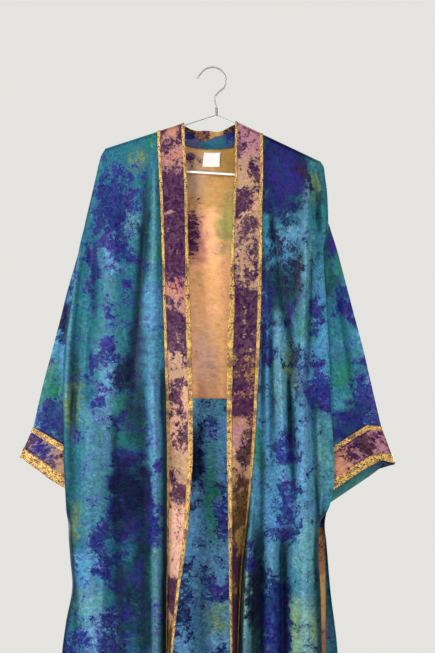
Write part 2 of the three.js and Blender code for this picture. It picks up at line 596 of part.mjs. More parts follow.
// ---- The wire hanger: hook, collar, two arms, two rounded tips and the bar ----
const WIRE_SIDES = 8;
function wire(path, steps) {
  const section = new THREE.Shape(
    Array.from({ length: WIRE_SIDES }, (_, k) => {
      const turn = (2 * Math.PI * k) / WIRE_SIDES;
      return new THREE.Vector2(WIRE_RADIUS * Math.cos(turn), WIRE_RADIUS * Math.sin(turn));
    }),
  );
  return new THREE.ExtrudeGeometry(section, { steps, bevelEnabled: false, extrudePath: path });
}
// A circular bend in the hanger's plane, from one angle to another.
class Bend extends THREE.Curve {
  constructor(centre, radius, from, to) {
    super();
    Object.assign(this, { centre, radius, from, to });
  }
  getPoint(t) {
    const turn = lerp(this.from, this.to, t);
    return new THREE.Vector3(
      this.centre.x + this.radius * Math.cos(turn),
      0,
      this.centre.z + this.radius * Math.sin(turn),
    );
  }
}
const line = (a, b) => new THREE.LineCurve3(new THREE.Vector3(a.x, 0, a.z), new THREE.Vector3(b.x, 0, b.z));
const shortened = (a, b, fromA, fromB) => {
  const long = Math.hypot(b.x - a.x, b.z - a.z);
  const at = (d) => ({ x: lerp(a.x, b.x, d / long), z: lerp(a.z, b.z, d / long) });
  return [at(fromA), at(long - fromB)];
};

const COLLAR = { radius: 3, tall: 14 };
const hookCentre = { x: -2, z: -(HOOK_RADIUS - WIRE_RADIUS) };
// The open end of the hook flares out a little.
const hookPoints = [
  new THREE.Vector3(-30.5, 0, -19.6),
  ...[150, 120, 90, 60, 30, 0, -25].map((degrees) => {
    const turn = THREE.MathUtils.degToRad(degrees);
    return new THREE.Vector3(
      hookCentre.x + HOOK_RADIUS * Math.cos(turn),
      0,
      hookCentre.z + HOOK_RADIUS * Math.sin(turn) + 0.01,
    );
  }),
  new THREE.Vector3(11, 0, -45),
  new THREE.Vector3(3.5, 0, -54),
  new THREE.Vector3(3, 0, -64),
  new THREE.Vector3(TWIST.x - 0.6, 0, TWIST.z + 5 + COLLAR.tall / 2),
];
add("hanger_hook", wire(new THREE.CatmullRomCurve3(hookPoints, false, "centripetal"), 34), steel);
const collar = add("hanger_collar", new THREE.CylinderGeometry(COLLAR.radius, COLLAR.radius, COLLAR.tall, 12), steel);
collar.rotation.x = Math.PI / 2;
collar.position.set(TWIST.x, 0, TWIST.z + 4.7 - SEAM_GAP);

const barAngle = -HANGER.tilt;
const barEnds = [-1, 1].map((side) => {
  const centre = tipCentre(side);
  return {
    x: centre.x + HANGER.tipRadius * Math.sin(barAngle),
    z: centre.z - HANGER.tipRadius * Math.cos(barAngle),
  };
});
for (const [name, side] of [
  ["right", -1],
  ["left", 1],
]) {
  const centre = tipCentre(side);
  const lean = armAngle(side);
  const tangent = {
    x: centre.x + side * HANGER.tipRadius * Math.sin(lean),
    z: centre.z + HANGER.tipRadius * Math.cos(lean),
  };
  const gapAngle = SEAM_GAP / HANGER.tipRadius;
  const start = side > 0 ? Math.PI / 2 - lean : Math.PI / 2 + lean;
  const end = side > 0 ? -Math.PI / 2 + barAngle : (3 * Math.PI) / 2 + barAngle;
  const [armFrom, armTo] = shortened(TWIST, tangent, COLLAR.radius + WIRE_RADIUS, 0);
  add(`hanger_arm_${name}`, wire(line(armFrom, armTo), 1), steel);
  add(`hanger_tip_${name}`, wire(new Bend(centre, HANGER.tipRadius, start - side * gapAngle, end), 10), steel);
}
const [barFrom, barTo] = shortened(barEnds[0], barEnds[1], SEAM_GAP, SEAM_GAP);
add("hanger_bar", wire(line(barFrom, barTo), 1), steel);

export default kimono;
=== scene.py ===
"""A long open-front kimono robe of ice-dyed silk, hanging by a steel wire hanger.

Tables and shapes are in millimetres, in the robe's own frame: +Z up, the open front to -Y, the wearer's left
to +X, and the origin inside the crown of the hanger's hook. A mesh takes them in metres. Every cloth is a
thin shell on a grid of points worked out with numpy: rows run down the cloth and columns run across it.
"""
import functools
import math

import bpy
import numpy as np
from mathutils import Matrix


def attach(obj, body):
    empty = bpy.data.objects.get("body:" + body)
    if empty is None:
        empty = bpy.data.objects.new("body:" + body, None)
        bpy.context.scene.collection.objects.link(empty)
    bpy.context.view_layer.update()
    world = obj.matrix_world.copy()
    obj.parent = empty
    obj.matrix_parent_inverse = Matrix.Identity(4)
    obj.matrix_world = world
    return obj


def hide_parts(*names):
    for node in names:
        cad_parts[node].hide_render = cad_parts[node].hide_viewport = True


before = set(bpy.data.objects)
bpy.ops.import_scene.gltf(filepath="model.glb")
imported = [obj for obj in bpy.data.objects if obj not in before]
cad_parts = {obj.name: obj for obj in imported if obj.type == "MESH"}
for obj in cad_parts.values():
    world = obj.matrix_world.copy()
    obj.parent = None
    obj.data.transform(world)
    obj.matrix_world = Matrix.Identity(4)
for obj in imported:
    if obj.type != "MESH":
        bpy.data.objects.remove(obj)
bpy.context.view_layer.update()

# ---- Sizes ----
MM = 0.001
SILK = 0.9  # single silk, with its hems' fullness
DOUBLE_SILK = 1.5  # the neckband and cuffs, folded double over a stiffener
EDGING = 0.8  # woven gold edging
SEAM_GAP = 0.3
SHOULDER_Z, HEM_Z = -125, -1371
LEVEL_BY = 260  # the rows follow the sloping shoulder at the top and are level this far below it
BAND_WIDTH, BAND_EDGING = 56, 10
CUFF_EDGING_SEAM, CUFF_EDGING_HEM = 11, 18
ROLL = 13  # breadth of the turn at a panel's side edge
FADE = 110  # a long fold grows in and fades out over this height
FOLDS_EASE = 60  # and all folds grow in over this height below the shoulder
# the yoke lining's sides are shares of the back's breadth
LINING_LOW, LINING_RIGHT, LINING_LEFT = -629, 0.29, 0.71
SLIT_TOP = -874

WIRE = 1.5  # radius of the hanger's wire
TWIST_X, TWIST_Z = 6, -88
TIP_REACH, TIP_DROP, TIP_RADIUS, TILT = 188, 94, 18, math.radians(3.7)
OVER_WIRE = WIRE + SEAM_GAP + 0.2 + SILK  # middle of the cloth that rides on the wire
SHOULDER_SEAM = 0.4  # the back's top edge lies this far below the middle of the wire


def table(names, rows):
    """A table with named columns, from a text with one row on each line."""
    return dict(zip(names.split(), np.array([row.split() for row in rows.split("\n")[1:-1]], float).T))


# ---- The cut: free is the neckband's loose edge, seam joins band to panel, side is the outer edge ----
FRONT_RIGHT = table("z free seam side", """
-105 -56 -107 -205
-154 -54 -106 -206
-168 -53 -105 -213.5
-228 -50 -102 -227
-308 -49 -99 -246
-346 -48 -98 -254
-456 -44 -95 -269
-555 -41 -92 -282
-640 -39 -90 -284
-726 -39 -88 -282
-800 -43 -88 -279
-866 -48 -88 -275
-931 -56 -88 -270
-977 -63 -89 -266
-1049 -71 -89 -278
-1112 -77 -89 -286
-1240 -80 -91 -293
-1372 -81 -92 -297
""")
FRONT_LEFT = table("z free seam side", """
-105 42 94 203
-178 41 94 204
-188 41 94 209
-206 41 94 211.5
-241 39 93 216
-292 37 92 218
-314 36 92 215
-346 34 92 208
-452 30 90 213
-540 27 87 218
-629 26 83 221
-726 26 77 226
-783 27 72 227
-830 28 67 218
-866 28 63 201
-914 29 57 198
-992 30 51 202
-1112 32 46 205
-1240 34 45 212
-1372 34 44 218
""")
BACK = table("z right left", """
-105 -205 203
-154 -206 203.5
-168 -213.5 204
-188 -219 209
-206 -223 211.5
-241 -231 216
-292 -243 218
-346 -254 209
-456 -268 214
-629 -279 223
-726 -277 227
-838 -271 218
-866 -268 211
-900 -264 215
-992 -260 223
-1112 -276 237
-1372 -288 250
""")
# How far each panel hangs from the hanger's plane: at the neckband, over its breadth, and at its turned-in
# side edge.
FRONT_DEPTHS = table("z seam hung side", """
-105 2.8 2.8 0.8
-200 4.5 4.5 0.8
-292 6.5 7.5 0.8
-314 7 9 6.5
-346 8 12 11.5
-456 9 16 15.5
-629 10 20 19
-726 10 22 21
-838 10 21.5 20.5
-866 9 21 0.5
-890 9 20.5 12
-992 8 18 15
-1372 8 15 13
""")
BACK_DEPTHS = table("z hung side", """
-105 3 0.8
-160 7 0.8
-222 11 0.8
-292 13 0.8
-314 13.5 6.5
-346 14.5 11.5
-456 17 15.5
-629 20 19
-726 22 21
-838 21.5 20.5
-866 21 0.5
-890 20.5 12
-992 19 15
-1372 18 16
""")
# ---- Folds and creases ----
# Ridges rise above 0 and troughs lie below. x is the fold's line at its top, middle and low end. In each
# table the panel's long folds come first, and the creases of the thin silk itself after them.
FOLD = "top low x_top x_mid x_low width_top width_low rise"
FOLDS_RIGHT = table(FOLD, """
-150 -640 -121 -140 -162 8 14 -4
-170 -700 -109 -113 -116 8 13 8
-560 -1372 -114 -106 -108 13 13 26
-260 -720 -192 -196 -205 20 26 12
-600 -1372 -232 -226 -232 30 44 26
-300 -860 -249 -276 -275 6 8 9
-250 -760 -126 -146 -166 6 13 -5
-600 -740 -96 -101 -108 2.4 2.8 -3.5
-690 -800 -108 -104 -99 3 4 2
-760 -830 -126 -119 -112 3 4 -2.5
-330 -720 -232 -259 -260 6 7 -7
-560 -720 -250 -250 -250 3 4 3
-360 -520 -222 -224 -225 5 6 -5
-470 -690 -238 -242 -243 4 5 4
-760 -1000 -90 -93 -96 6 10 -5
-880 -1100 -137 -139 -142 1.6 1.8 1.6
-720 -990 -246 -250 -266 1.8 2 1.8
-640 -1372 -186 -176 -170 9 13 -6
-900 -1372 -205 -214 -226 5 9 3.5
-960 -1372 -254 -262 -268 6 9 -4
-760 -1060 -228 -221 -214 4 7 -3
-160 -330 -176 -183 -187 7 10 2.2
-190 -300 -150 -157 -168 4 8 -1.8
-1080 -1372 -150 -146 -150 7 10 6
-1130 -1372 -120 -124 -131 5 8 -4
""")
FOLDS_LEFT = table(FOLD, """
-420 -1372 87 62 58 7 12 30
-440 -860 121 128 136 11 13 15
-860 -1372 109 109 108 11 13 22
-180 -700 180 170 166 10 12 9
-600 -1372 166 172 178 13 30 24
-150 -420 196 200 203 6 6 -3
-170 -360 198 202 206 3 3.5 -3.5
-190 -700 97 94 93 4 5 -4
-240 -560 105 128 151 7 8 -7
-300 -540 117 134 146 4 5 3.5
-420 -780 103 102 104 3 4 4.5
-440 -740 111 113 117 3 4 -4
-500 -760 122 127 133 4 5 5
-560 -780 139 143 146 4 5 -7
-300 -640 177 171 166 3.5 4 5
-330 -620 186 181 177 3 4 -4
-620 -860 154 152 150 4 5 -5
-700 -1372 93 90 84 6 10 -5
-880 -1372 130 132 138 6 10 -7
-760 -900 190 196 199 3 4 -3
-770 -960 206 200 196 2 2.5 2
-880 -1372 186 190 200 7 10 -3.5
-900 -1372 160 161 166 4 6 -2.5
-640 -800 196 200 206 5 6 4
-1120 -1372 72 74 78 4 6 4
""")
FOLDS_BACK = table(FOLD, """
-260 -1372 -190 -205 -225 22 28 14
-360 -1372 -120 -130 -140 16 24 12
-560 -1372 -34 -30 -40 14 22 11
-330 -1372 70 66 60 16 24 13
-260 -1372 160 158 165 18 28 14
-640 -1372 -33 -30 -26 5 8 5
-640 -1372 -14 -10 -8 4 7 -4
-690 -1372 2 8 12 5 8 -4
-640 -1000 22 24 30 3 5 3
-300 -800 -160 -170 -176 6 9 -4
-420 -1100 -86 -92 -96 5 9 4
-200 -620 110 116 112 7 10 -3.5
-480 -1372 112 118 126 6 10 4.5
-360 -900 194 196 198 5 7 -4
-240 -520 -60 -66 -70 8 11 2.5
-230 -560 24 30 26 9 12 2.5
-700 -1372 -236 -240 -246 7 10 -5
-820 -1372 196 204 214 7 11 -5
-900 -1372 -100 -104 -112 5 8 -4
-1040 -1372 30 34 38 6 9 -4
""")
# ---- Sleeves and cuffs ----
# Ring by ring: outer edge, reach towards the body, slope, half depth, and how much lower the front wall hangs
# than the back wall.
RING = "z x reach slope depth tilt"
SLEEVE_RIGHT = table(RING, """
-314 -248 44 12 7.4 0
-346 -255 78 15 8.5 0
-423 -277 112 17 11.5 0
-483 -292 130 19 12.8 0
-555 -311 148 22 14 0
-608 -325 158 25 14.5 0
-683 -342 168 28 15 0.1
""")
CUFF_RIGHT = table(RING, """
-683 -342 168 28 15 0.1
-712 -355 172 29 15.5 0.35
-739 -367 176 30 16 0.6
""")
SLEEVE_LEFT = table(RING, """
-296 218.8 2.5 12 0.8 0
-306 221.8 8 12 1.6 0
-316 225 40 12 4.6 0
-348 235 72 15 8.5 0
-401 249 96 18 11.5 0
-462 265 118 22 12.8 0
-534 284 136 26 14 0
-629 306 156 31 15.5 -0.2
-680 318 166 33 16 -0.3
""")
CUFF_LEFT = table(RING, """
-680 318 166 33 16 -0.3
-716 331 170 33.5 16.5 -0.55
-752 344 174 34 17 -0.8
""")
LIP_RIGHT, LIP_LEFT = 4, 28  # the first stretch of each ring from its outer edge runs level
# a trough runs down each sleeve's front wall: its depth, and its place and breadth as shares of the reach
TROUGH_DEEP, TROUGH_AT, TROUGH_WIDE = 5, 0.2, 0.09
FULL_DEPTH = 14  # half depth of a sleeve at which its trough has its full depth
PRESSED, PRESSED_OVER = 0.3, 36  # the sleeve is pressed flat along its outer edge
CREASES_SLEEVE_RIGHT = table(FOLD, """
-380 -620 -262 -284 -300 4 6 -3
-560 -700 -300 -316 -330 3 5 2.5
-590 -690 -288 -300 -322 3 4 -2.5
-470 -680 -240 -250 -262 6 8 3
""")
CREASES_SLEEVE_LEFT = table(FOLD, """
-410 -690 236 258 284 5 8 -5
-380 -640 226 244 262 4 6 3.5
-440 -660 204 205 208 5 6 -4
-640 -740 240 243 248 4 5 -4
-560 -760 276 288 299 3 4 3
-690 -790 290 294 300 2.5 3 2.5
""")


# ---- Curves and fields ----
def smooth(t):
    """Rises from 0 to 1 with level ends: 3t^2 - 2t^3."""
    t = np.clip(t, 0, 1)
    return t * t * (3 - 2 * t)


def mix(a, b, t):
    """The point that lies the share t of the way from a to b."""
    return a + (b - a) * t


def unit(ways):
    """Each way at a length of 1."""
    return ways / np.linalg.norm(ways, axis=-1, keepdims=True)


def curve(rows, key):
    """A smooth curve through one column of a table, by height: cubic Hermite pieces whose slopes are the
    harmonic mean of their neighbours', so that it never swings past a row."""
    place, value = -rows["z"], rows[key]
    slope = np.diff(value) / np.diff(place)
    before, after = slope[:-1], slope[1:]
    same_way = before * after > 0
    mean = 2 * before * after / np.where(same_way, before + after, 1)
    tangent = np.concatenate([slope[:1], np.where(same_way, mean, 0), slope[-1:]])

    def at(z):
        along = np.clip(-np.asarray(z, float), place[0], place[-1])
        k = np.clip(np.searchsorted(place, along, side="right") - 1, 0, len(place) - 2)
        span = place[k + 1] - place[k]
        t = (along - place[k]) / span
        ends = (2 * t**3 - 3 * t**2 + 1) * value[k] + (3 * t**2 - 2 * t**3) * value[k + 1]
        return ends + span * ((t**3 - 2 * t**2 + t) * tangent[k] + (t**3 - t**2) * tangent[k + 1])

    return at


def fold_height(folds, x, z):
    """Height of a table's folds: each is a bell across its own curved line that fades in and out along it."""
    height = np.zeros(np.broadcast(x, z).shape)
    for top, low, x_top, x_mid, x_low, width_top, width_low, rise in zip(*folds.values()):
        t = np.clip((z - top) / (low - top), 0, 1)
        line = (1 - t) * (1 - 2 * t) * x_top + 4 * t * (1 - t) * x_mid + t * (2 * t - 1) * x_low
        fade = min(FADE, (top - low) / 2)
        ends = smooth((top - z) * 2 / fade) * (smooth((z - low) / fade) if low > HEM_Z else 1)
        height += rise * ends * np.exp(-(((x - line) / mix(width_top, width_low, t)) ** 2))
    return height


def turn_in(distance):
    """A quarter circle at a side edge: 1 at the edge, 0 past the breadth of the turn."""
    inside = np.clip(1 - distance / ROLL, 0, 1)
    return 1 - np.sqrt(1 - inside**2)


# ---- The hanger's lines ----
def tip_centre(side):
    """Centre of the rounded tip, turned with the hanger's tilt about its twist."""
    x, z, c, s = side * TIP_REACH, -TIP_DROP, math.cos(TILT), math.sin(TILT)
    return np.array([TWIST_X + x * c + z * s, TWIST_Z - x * s + z * c])


def arm_angle(side):
    """Slope of an arm: the line from the twist that touches the tip's circle."""
    across, drop = abs(tip_centre(side)[0] - TWIST_X), TWIST_Z - tip_centre(side)[1]
    return math.atan2(drop, across) - math.asin(TIP_RADIUS / math.hypot(across, drop))


ARM_RIGHT, ARM_LEFT = arm_angle(-1), arm_angle(1)


def arm_z(x):
    """Height of the middle of the wire over x."""
    return TWIST_Z - np.abs(x - TWIST_X) * np.where(x < TWIST_X, math.tan(ARM_RIGHT), math.tan(ARM_LEFT))


def ridge_rise(x):
    """How far the cloth's middle stands above the wire's, straight up."""
    return OVER_WIRE / np.where(x < TWIST_X, math.cos(ARM_RIGHT), math.cos(ARM_LEFT))


def ridge_z(x):
    """Height of the cloth that rides on the wire."""
    return arm_z(x) + ridge_rise(x)


def row_z(nominal, top):
    """Height of a point of a row: the row follows the shoulder at the top and is level lower down."""
    return nominal + (top - SHOULDER_Z) * (1 - smooth((SHOULDER_Z - nominal) / LEVEL_BY))


def edge_at(edge, nominal, top_of):
    """Where an edge crosses a row: x depends on the real height there, which depends on x."""
    x = edge(nominal)
    for _ in range(4):
        x = edge(row_z(nominal, top_of(x)))
    return x


# ---- The fronts and neckbands ----
WRAP = np.radians(np.linspace(-90, 90, 9))[:, None]  # turns over the wire, from behind to in front
DOWN = np.concatenate([np.linspace(-128, -340, 46), np.linspace(-345, HEM_Z, 190)])[:, None]
ROWS = np.concatenate([np.full_like(WRAP, SHOULDER_Z), DOWN])
FRONT_EASE, BACK_EASE = 30, 45  # the cloth leaves the wire over this height
ANCHOR = len(WRAP) + 4  # the row where the cloth's own coordinate down is its height
front_hang = {key: curve(FRONT_DEPTHS, key) for key in ("seam", "hung", "side")}
SLEEVE_ROOM = table("z room", """
-300 3
-330 9.5
-456 14.4
-640 17.6
-730 20
-850 20
-875 9
-900 3
""")
sleeve_room = curve(SLEEVE_ROOM, "room")
# room for a sleeve begins this far from the robe's middle
SLEEVE_FROM_FRONT, SLEEVE_FROM_BACK, SLEEVE_EASE = 158, 140, 12
# the hang is reached by this share of a front's breadth, and its folds grow in this far from its seam
HUNG_BY, SEAM_EASE = 0.5, 10
# the band turns edge-on below this height, over this much, and its loose edge then leads by this share
LEAD_FROM, LEAD_OVER, LEAD_SHARE = -300, 420, 0.88
BAND_STANDS, STANDS_OVER = 2, 80  # it stands off the panel below the shoulder too
BAND_CROWN, BAND_WAVER, LONG_WAVE, SHORT_WAVE = 1.4, 0.8, 47, 31


def front_depth(shape, folds, x, z):
    """Distance of a front in front of the hanger's plane: its hang, its folds, room for the sleeve behind it,
    and the turn at its side edge."""
    seam, side = shape["seam"](z), shape["side"](z)
    share = np.clip((x - seam) / (side - seam), 0, 1)
    base = mix(front_hang["seam"](z), front_hang["hung"](z), smooth(share / HUNG_BY))
    ramp = smooth(np.abs(x - seam) / SEAM_EASE) * smooth((SHOULDER_Z - z) / FOLDS_EASE)
    field = base + ramp * fold_height(folds, x, z)
    field = np.maximum(field, sleeve_room(z) * smooth((np.abs(x) - SLEEVE_FROM_FRONT) / SLEEVE_EASE))
    return mix(field, np.maximum(front_hang["side"](z), 0), turn_in(np.abs(side - x)))


def band_depth(shape, x, z):
    """Distance of the neckband: a soft crown, and its loose edge stands forward where the band turns
    edge-on."""
    free, seam = shape["free"](z), shape["seam"](z)
    share = np.clip((seam - x) / (seam - free), 0, 1)
    narrow = np.sqrt(np.maximum(0, BAND_WIDTH**2 - (seam - free) ** 2))
    lead = LEAD_SHARE * narrow * smooth((LEAD_FROM - z) / LEAD_OVER)
    lead = lead + BAND_STANDS * smooth((SHOULDER_Z - z) / STANDS_OVER)
    waves = np.sin(z / LONG_WAVE) * np.sin(z / SHORT_WAVE + 1)
    crown = BAND_CROWN * np.sin(math.pi * share) + BAND_WAVER * waves * share
    return front_hang["seam"](z) + lead * smooth(share) + crown * smooth((SHOULDER_Z - z) / FOLDS_EASE)


def front_points(rows, folds, in_band, shares):
    """Grid of points of a front's band (shares run from its loose edge to the seam) or panel (from the seam
    to the side edge, closer together where the edge turns in)."""
    shape = {key: curve(rows, key) for key in ("free", "seam", "side")}
    free, seam, side = (edge_at(shape[key], ROWS, ridge_z) for key in ("free", "seam", "side"))
    x = mix(free, seam, shares) if in_band else mix(seam, side, np.sin(shares * math.pi / 2))
    z = row_z(ROWS, ridge_z(x))
    depth = band_depth(shape, x, z) if in_band else front_depth(shape, folds, x, z)
    y = -mix(OVER_WIRE, depth, smooth((SHOULDER_Z - ROWS) / FRONT_EASE))
    n = len(WRAP)
    y[:n] = -OVER_WIRE * np.sin(WRAP)
    z[:n] = ridge_z(x[:n]) - ridge_rise(x[:n]) * (1 - np.cos(WRAP))
    return np.stack([x, y, z], axis=-1)


# ---- The back and the neck ----
NECK_RIGHT, NECK_LEFT, NECK_SCOOP, NECK_BACK, NECK_GAP = -107, 94, 25, 16, 0.7
TOP_RIGHT, TOP_LEFT, TOP_SAG, TOP_BACK, SLOUCH = -56, 42, 13, 12, 9
MIDDLE_RUCK, TOP_RUCK, TOP_WAVER = 1.2, 1.5, 2.2  # how far the band wavers behind the neck
CROWDING = 0.6  # how much closer together the back's columns stand at its side edges
back_shape = {key: curve(BACK, key) for key in ("right", "left")}
back_hang = {key: curve(BACK_DEPTHS, key) for key in ("hung", "side")}
BACK_ROWS = np.concatenate([[[SHOULDER_Z]], DOWN])


def crowded(shares):
    """Columns stand closer together towards both side edges."""
    return (1 - np.cos(math.pi * shares)) / 2 * CROWDING + shares * (1 - CROWDING)


def shares_at(nominal, x):
    """The shares that lie at x in each row of the back, found on a fine scale."""
    scale = np.linspace(0, 1, 401)
    right, left = back_shape["right"](nominal), back_shape["left"](nominal)
    return np.interp((x - right) / (left - right), crowded(scale), scale)


def sweep(share):
    """The neck's curve from one shoulder to the other."""
    return np.sin(math.pi * np.clip(share, 0, 1)) ** 0.8


def back_points(nominal, shares):
    """Grid of points of the back: its hang, its folds and the turn at both side edges; its top follows the
    neck."""

    def neck(x):
        share = (x - NECK_RIGHT) / (NECK_LEFT - NECK_RIGHT)
        level = mix(arm_z(np.float64(NECK_RIGHT)), arm_z(np.float64(NECK_LEFT)), share) - SHOULDER_SEAM
        bow = sweep(share)
        return (share > 0) & (share < 1), OVER_WIRE + NECK_BACK * bow, level - NECK_SCOOP * bow

    def top_z(x):
        inside, _, z = neck(x)
        return np.where(inside, z - NECK_GAP, arm_z(x) - SHOULDER_SEAM)

    right, left = (edge_at(back_shape[key], nominal, top_z) for key in ("right", "left"))
    x = mix(right, left, crowded(shares))
    z = row_z(nominal, top_z(x))
    edge = np.maximum(0, np.minimum(x - back_shape["right"](z), back_shape["left"](z) - x))
    field = back_hang["hung"](z) + smooth((SHOULDER_Z - z) / FOLDS_EASE) * fold_height(FOLDS_BACK, x, z)
    field = np.maximum(field, sleeve_room(z) * smooth((np.abs(x) - SLEEVE_FROM_BACK) / SLEEVE_EASE))
    hung = mix(field, back_hang["side"](z), turn_in(edge))
    inside, y, _ = neck(x)
    y = mix(np.where(inside, y, OVER_WIRE), hung, smooth((SHOULDER_Z - nominal) / BACK_EASE))
    return np.stack([x, y, z], axis=-1)


def collar_points(ups, shares):
    """Grid of points of the neckband behind the neck: it leans from the neck seam to its loose edge and bows
    out."""
    x_right, x_left = mix(NECK_RIGHT, TOP_RIGHT, ups), mix(NECK_LEFT, TOP_LEFT, ups)
    x = mix(x_right, x_left, shares)
    middle, bow = np.sin(math.pi * ups), sweep(shares)
    ruck = MIDDLE_RUCK * np.sin(shares * 17) * middle + TOP_RUCK * np.sin(shares * 9 + 1) * ups**3
    y = OVER_WIRE + (mix(NECK_BACK, TOP_BACK, ups) + SLOUCH * middle + ruck) * bow
    sag = mix(NECK_SCOOP, TOP_SAG, ups) + TOP_WAVER * np.sin(shares * 11) * ups**2
    z = mix(arm_z(x_right), arm_z(x_left), shares) - (SHOULDER_SEAM + sag * bow)
    return np.stack([x, y, z], axis=-1)


# ---- Sleeves ----
def ring_points(rows, creases, side, lip, heights):
    """Grid of points round a sleeve, a flattened tube: heights are those of its outer edge, and its 120
    points go round from the inner end along the back wall to the outer edge and home along the front wall."""
    at = {key: curve(rows, key)(heights)[:, None] for key in ("x", "reach", "slope", "depth", "tilt")}
    turns = 2 * math.pi * np.linspace(0, 1, 121)[:-1]
    c, s = np.cos(turns), np.sin(turns)
    inwards = at["reach"] / 2 * (1 + np.sign(c) * np.abs(c) ** 0.75)
    trough = TROUGH_DEEP * np.exp(-(((inwards / at["reach"] - TROUGH_AT) / TROUGH_WIDE) ** 2))
    trough = trough * np.minimum(1, at["depth"] / FULL_DEPTH)
    x = at["x"] - side * inwards
    z = heights[:, None] - np.tan(np.radians(at["slope"])) * np.maximum(0, inwards - lip)
    relief = fold_height(creases, x, z) * np.abs(s)
    pressed = mix(PRESSED, 1, smooth(inwards / PRESSED_OVER))
    y = at["depth"] * pressed * np.sign(s) * np.abs(s) ** 0.5 + np.where(s < 0, trough - relief, relief * 0.6)
    return np.stack([np.broadcast_to(x, y.shape), y, z + at["tilt"] * y], axis=-1)


# ---- Making meshes ----
def normals_of(points, closed):
    """Unit normals of a grid, from the differences of its neighbours."""
    if closed:
        across = np.roll(points, -1, axis=1) - np.roll(points, 1, axis=1)
    else:
        across = np.gradient(points, axis=1)
    normal = np.cross(across, np.gradient(points, axis=0))
    return normal / np.maximum(np.linalg.norm(normal, axis=-1, keepdims=True), 1e-9)


def raised(points, distance, facing, closed=False):
    """The grid moved along its normals by a distance, to the side that facing points to."""
    normal = normals_of(points, closed)
    return points + normal * np.sign((normal * facing).sum()) * distance


def round_centre(points):
    """For a closed grid: the way from its middle out to each point."""
    return points - points.mean(axis=1, keepdims=True)


def runs(points, axis):
    """Length of the cloth from its first row or column to each point."""
    step = np.linalg.norm(np.diff(points, axis=axis), axis=-1)
    return np.cumsum(np.insert(step, 0, 0, axis=axis), axis=axis)


def cloth_coordinates(points, first, last, anchor=0, closed=False):
    """Coordinates of the flat cloth: across, by length, from first to last; down, by length, from the anchor
    row."""
    if closed:
        points = np.concatenate([points, points[:, :1]], axis=1)
    across = runs(points, 1)
    u = mix(first, last, across / across[:, -1:])
    down = runs(points, 0)
    v = points[anchor : anchor + 1, :, 2] - (down - down[anchor : anchor + 1])
    return np.stack([u, v], axis=-1)


def plain_mesh(name, points, faces):
    """A mesh of points in metres and a list of faces."""
    mesh = bpy.data.meshes.new(name)
    mesh.from_pydata(points.tolist(), [], faces)
    return mesh


def placed(name, data):
    """An object of the scene."""
    obj = bpy.data.objects.new(name, data)
    bpy.context.scene.collection.objects.link(obj)
    return obj


def grid_mesh(name, points, coordinates, facing, closed=False):
    """A mesh on a grid of points in millimetres whose faces look to the side that facing points to, with the
    flat cloth's coordinates in metres as its UV map. A closed grid joins its last column to its first, and
    its coordinates have one column more."""
    tall, wide = points.shape[:2]
    i, j = np.meshgrid(np.arange(tall - 1), np.arange(wide if closed else wide - 1), indexing="ij")
    i, j = i.ravel(), j.ravel()
    corners = [(i, j), (i + 1, j), (i + 1, j + 1), (i, j + 1)]
    if (normals_of(points, closed) * facing).sum() > 0:
        corners.reverse()
    faces = np.stack([a * wide + b % wide for a, b in corners], axis=1)
    mesh = plain_mesh(name, points.reshape(-1, 3) * MM, faces.tolist())
    layer = mesh.uv_layers.new(name="cloth")
    flat = np.stack([coordinates[a, b] for a, b in corners], axis=1).reshape(-1, 2) * MM
    layer.data.foreach_set("uv", flat.astype(np.float32).ravel())
    mesh.polygons.foreach_set("use_smooth", np.ones(len(faces), bool))
    return mesh


def piece(name, mesh, materials, nodes=(), wall=None):
    """An object of the robe that rides with it, stands for its CAD nodes and gets its wall's thickness."""
    obj = placed(name, mesh)
    for material in materials:
        mesh.materials.append(material)
    if wall:
        shell = obj.modifiers.new("wall", "SOLIDIFY")
        shell.thickness = wall * MM
        shell.offset = 0
        shell.use_rim = True
        shell.material_offset = len(materials) - 1
    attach(obj, "root")
    if nodes:
        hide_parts(*nodes)
    return obj


# ---- Dyes ----
def linear(code):
    """An sRGB hex colour as linear RGBA."""
    value = np.array([int(code[k : k + 2], 16) for k in (1, 3, 5)]) / 255
    value = np.where(value <= 0.04045, value / 12.92, ((value + 0.055) / 1.055) ** 2.4)
    return (*value.tolist(), 1.0)


# The paler green and violet that follow green and violet are made for the back, as painted light that lifts the
# shade inside the robe.
DYES = {
    "teal": "#1e6f7e", "light_teal": "#559a9e", "sky": "#438ab4", "light_sky": "#5c96bc",
    "pale_sky": "#70baf2", "green": "#207664", "clear_green": "#2f9a80", "dark_green": "#0b3d44",
    "pale_green": "#82ae86", "olive": "#66875a", "moss": "#a09650", "navy": "#0c1640", "night": "#032236",
    "indigo": "#1c1f76", "violet": "#2c2386", "clear_violet": "#4440b4", "plum": "#390e44",
    "brown_plum": "#331a28", "peach": "#cf9c7a", "brown_mauve": "#a67c72", "grey_mauve": "#8c7876",
    "dim_mauve": "#94686c", "salmon": "#b97865", "mauve": "#a8707c", "rose": "#e2ac90", "tan": "#ad8868",
    "ochre": "#9a7236", "brown": "#4e3420", "rust": "#92613a", "orange": "#e0a468",
    "pale_orange": "#eaa876", "gold": "#b98a4c", "facing_blue": "#404f74", "grey_violet": "#5f5f8e",
    "inside_teal": "#3f7a78",
}
# Painted shade and painted highlight on the folds: the dark colour laid into the creases and the pale blue
# laid onto the ridges, how much of each, and the relief at which each is full.
CREASE_SHADE_COLOUR, RIDGE_HIGHLIGHT_COLOUR, CREASE_SHADE_SHARE, RIDGE_HIGHLIGHT_SHARE, FULL_RELIEF = "#052c36", "#6ea2c2", 0.92, 0.42, 7
# The dye plans are drawn on squares of 1.9 mm. Columns count to the wearer's left and the hook hangs over
# column 213.5; rows count downwards and the hook's crown is on row 68. A line with a colon names a piece and
# the dye all over it. The other lines give a dye and its patches, parted by commas: each one's left, top,
# right and low side and, for a bloom of crystals, its strength. A later patch lies over the earlier ones.
PLAN_SQUARE, HOOK_COLUMN, HOOK_ROW = 1.9, 213.5, 68
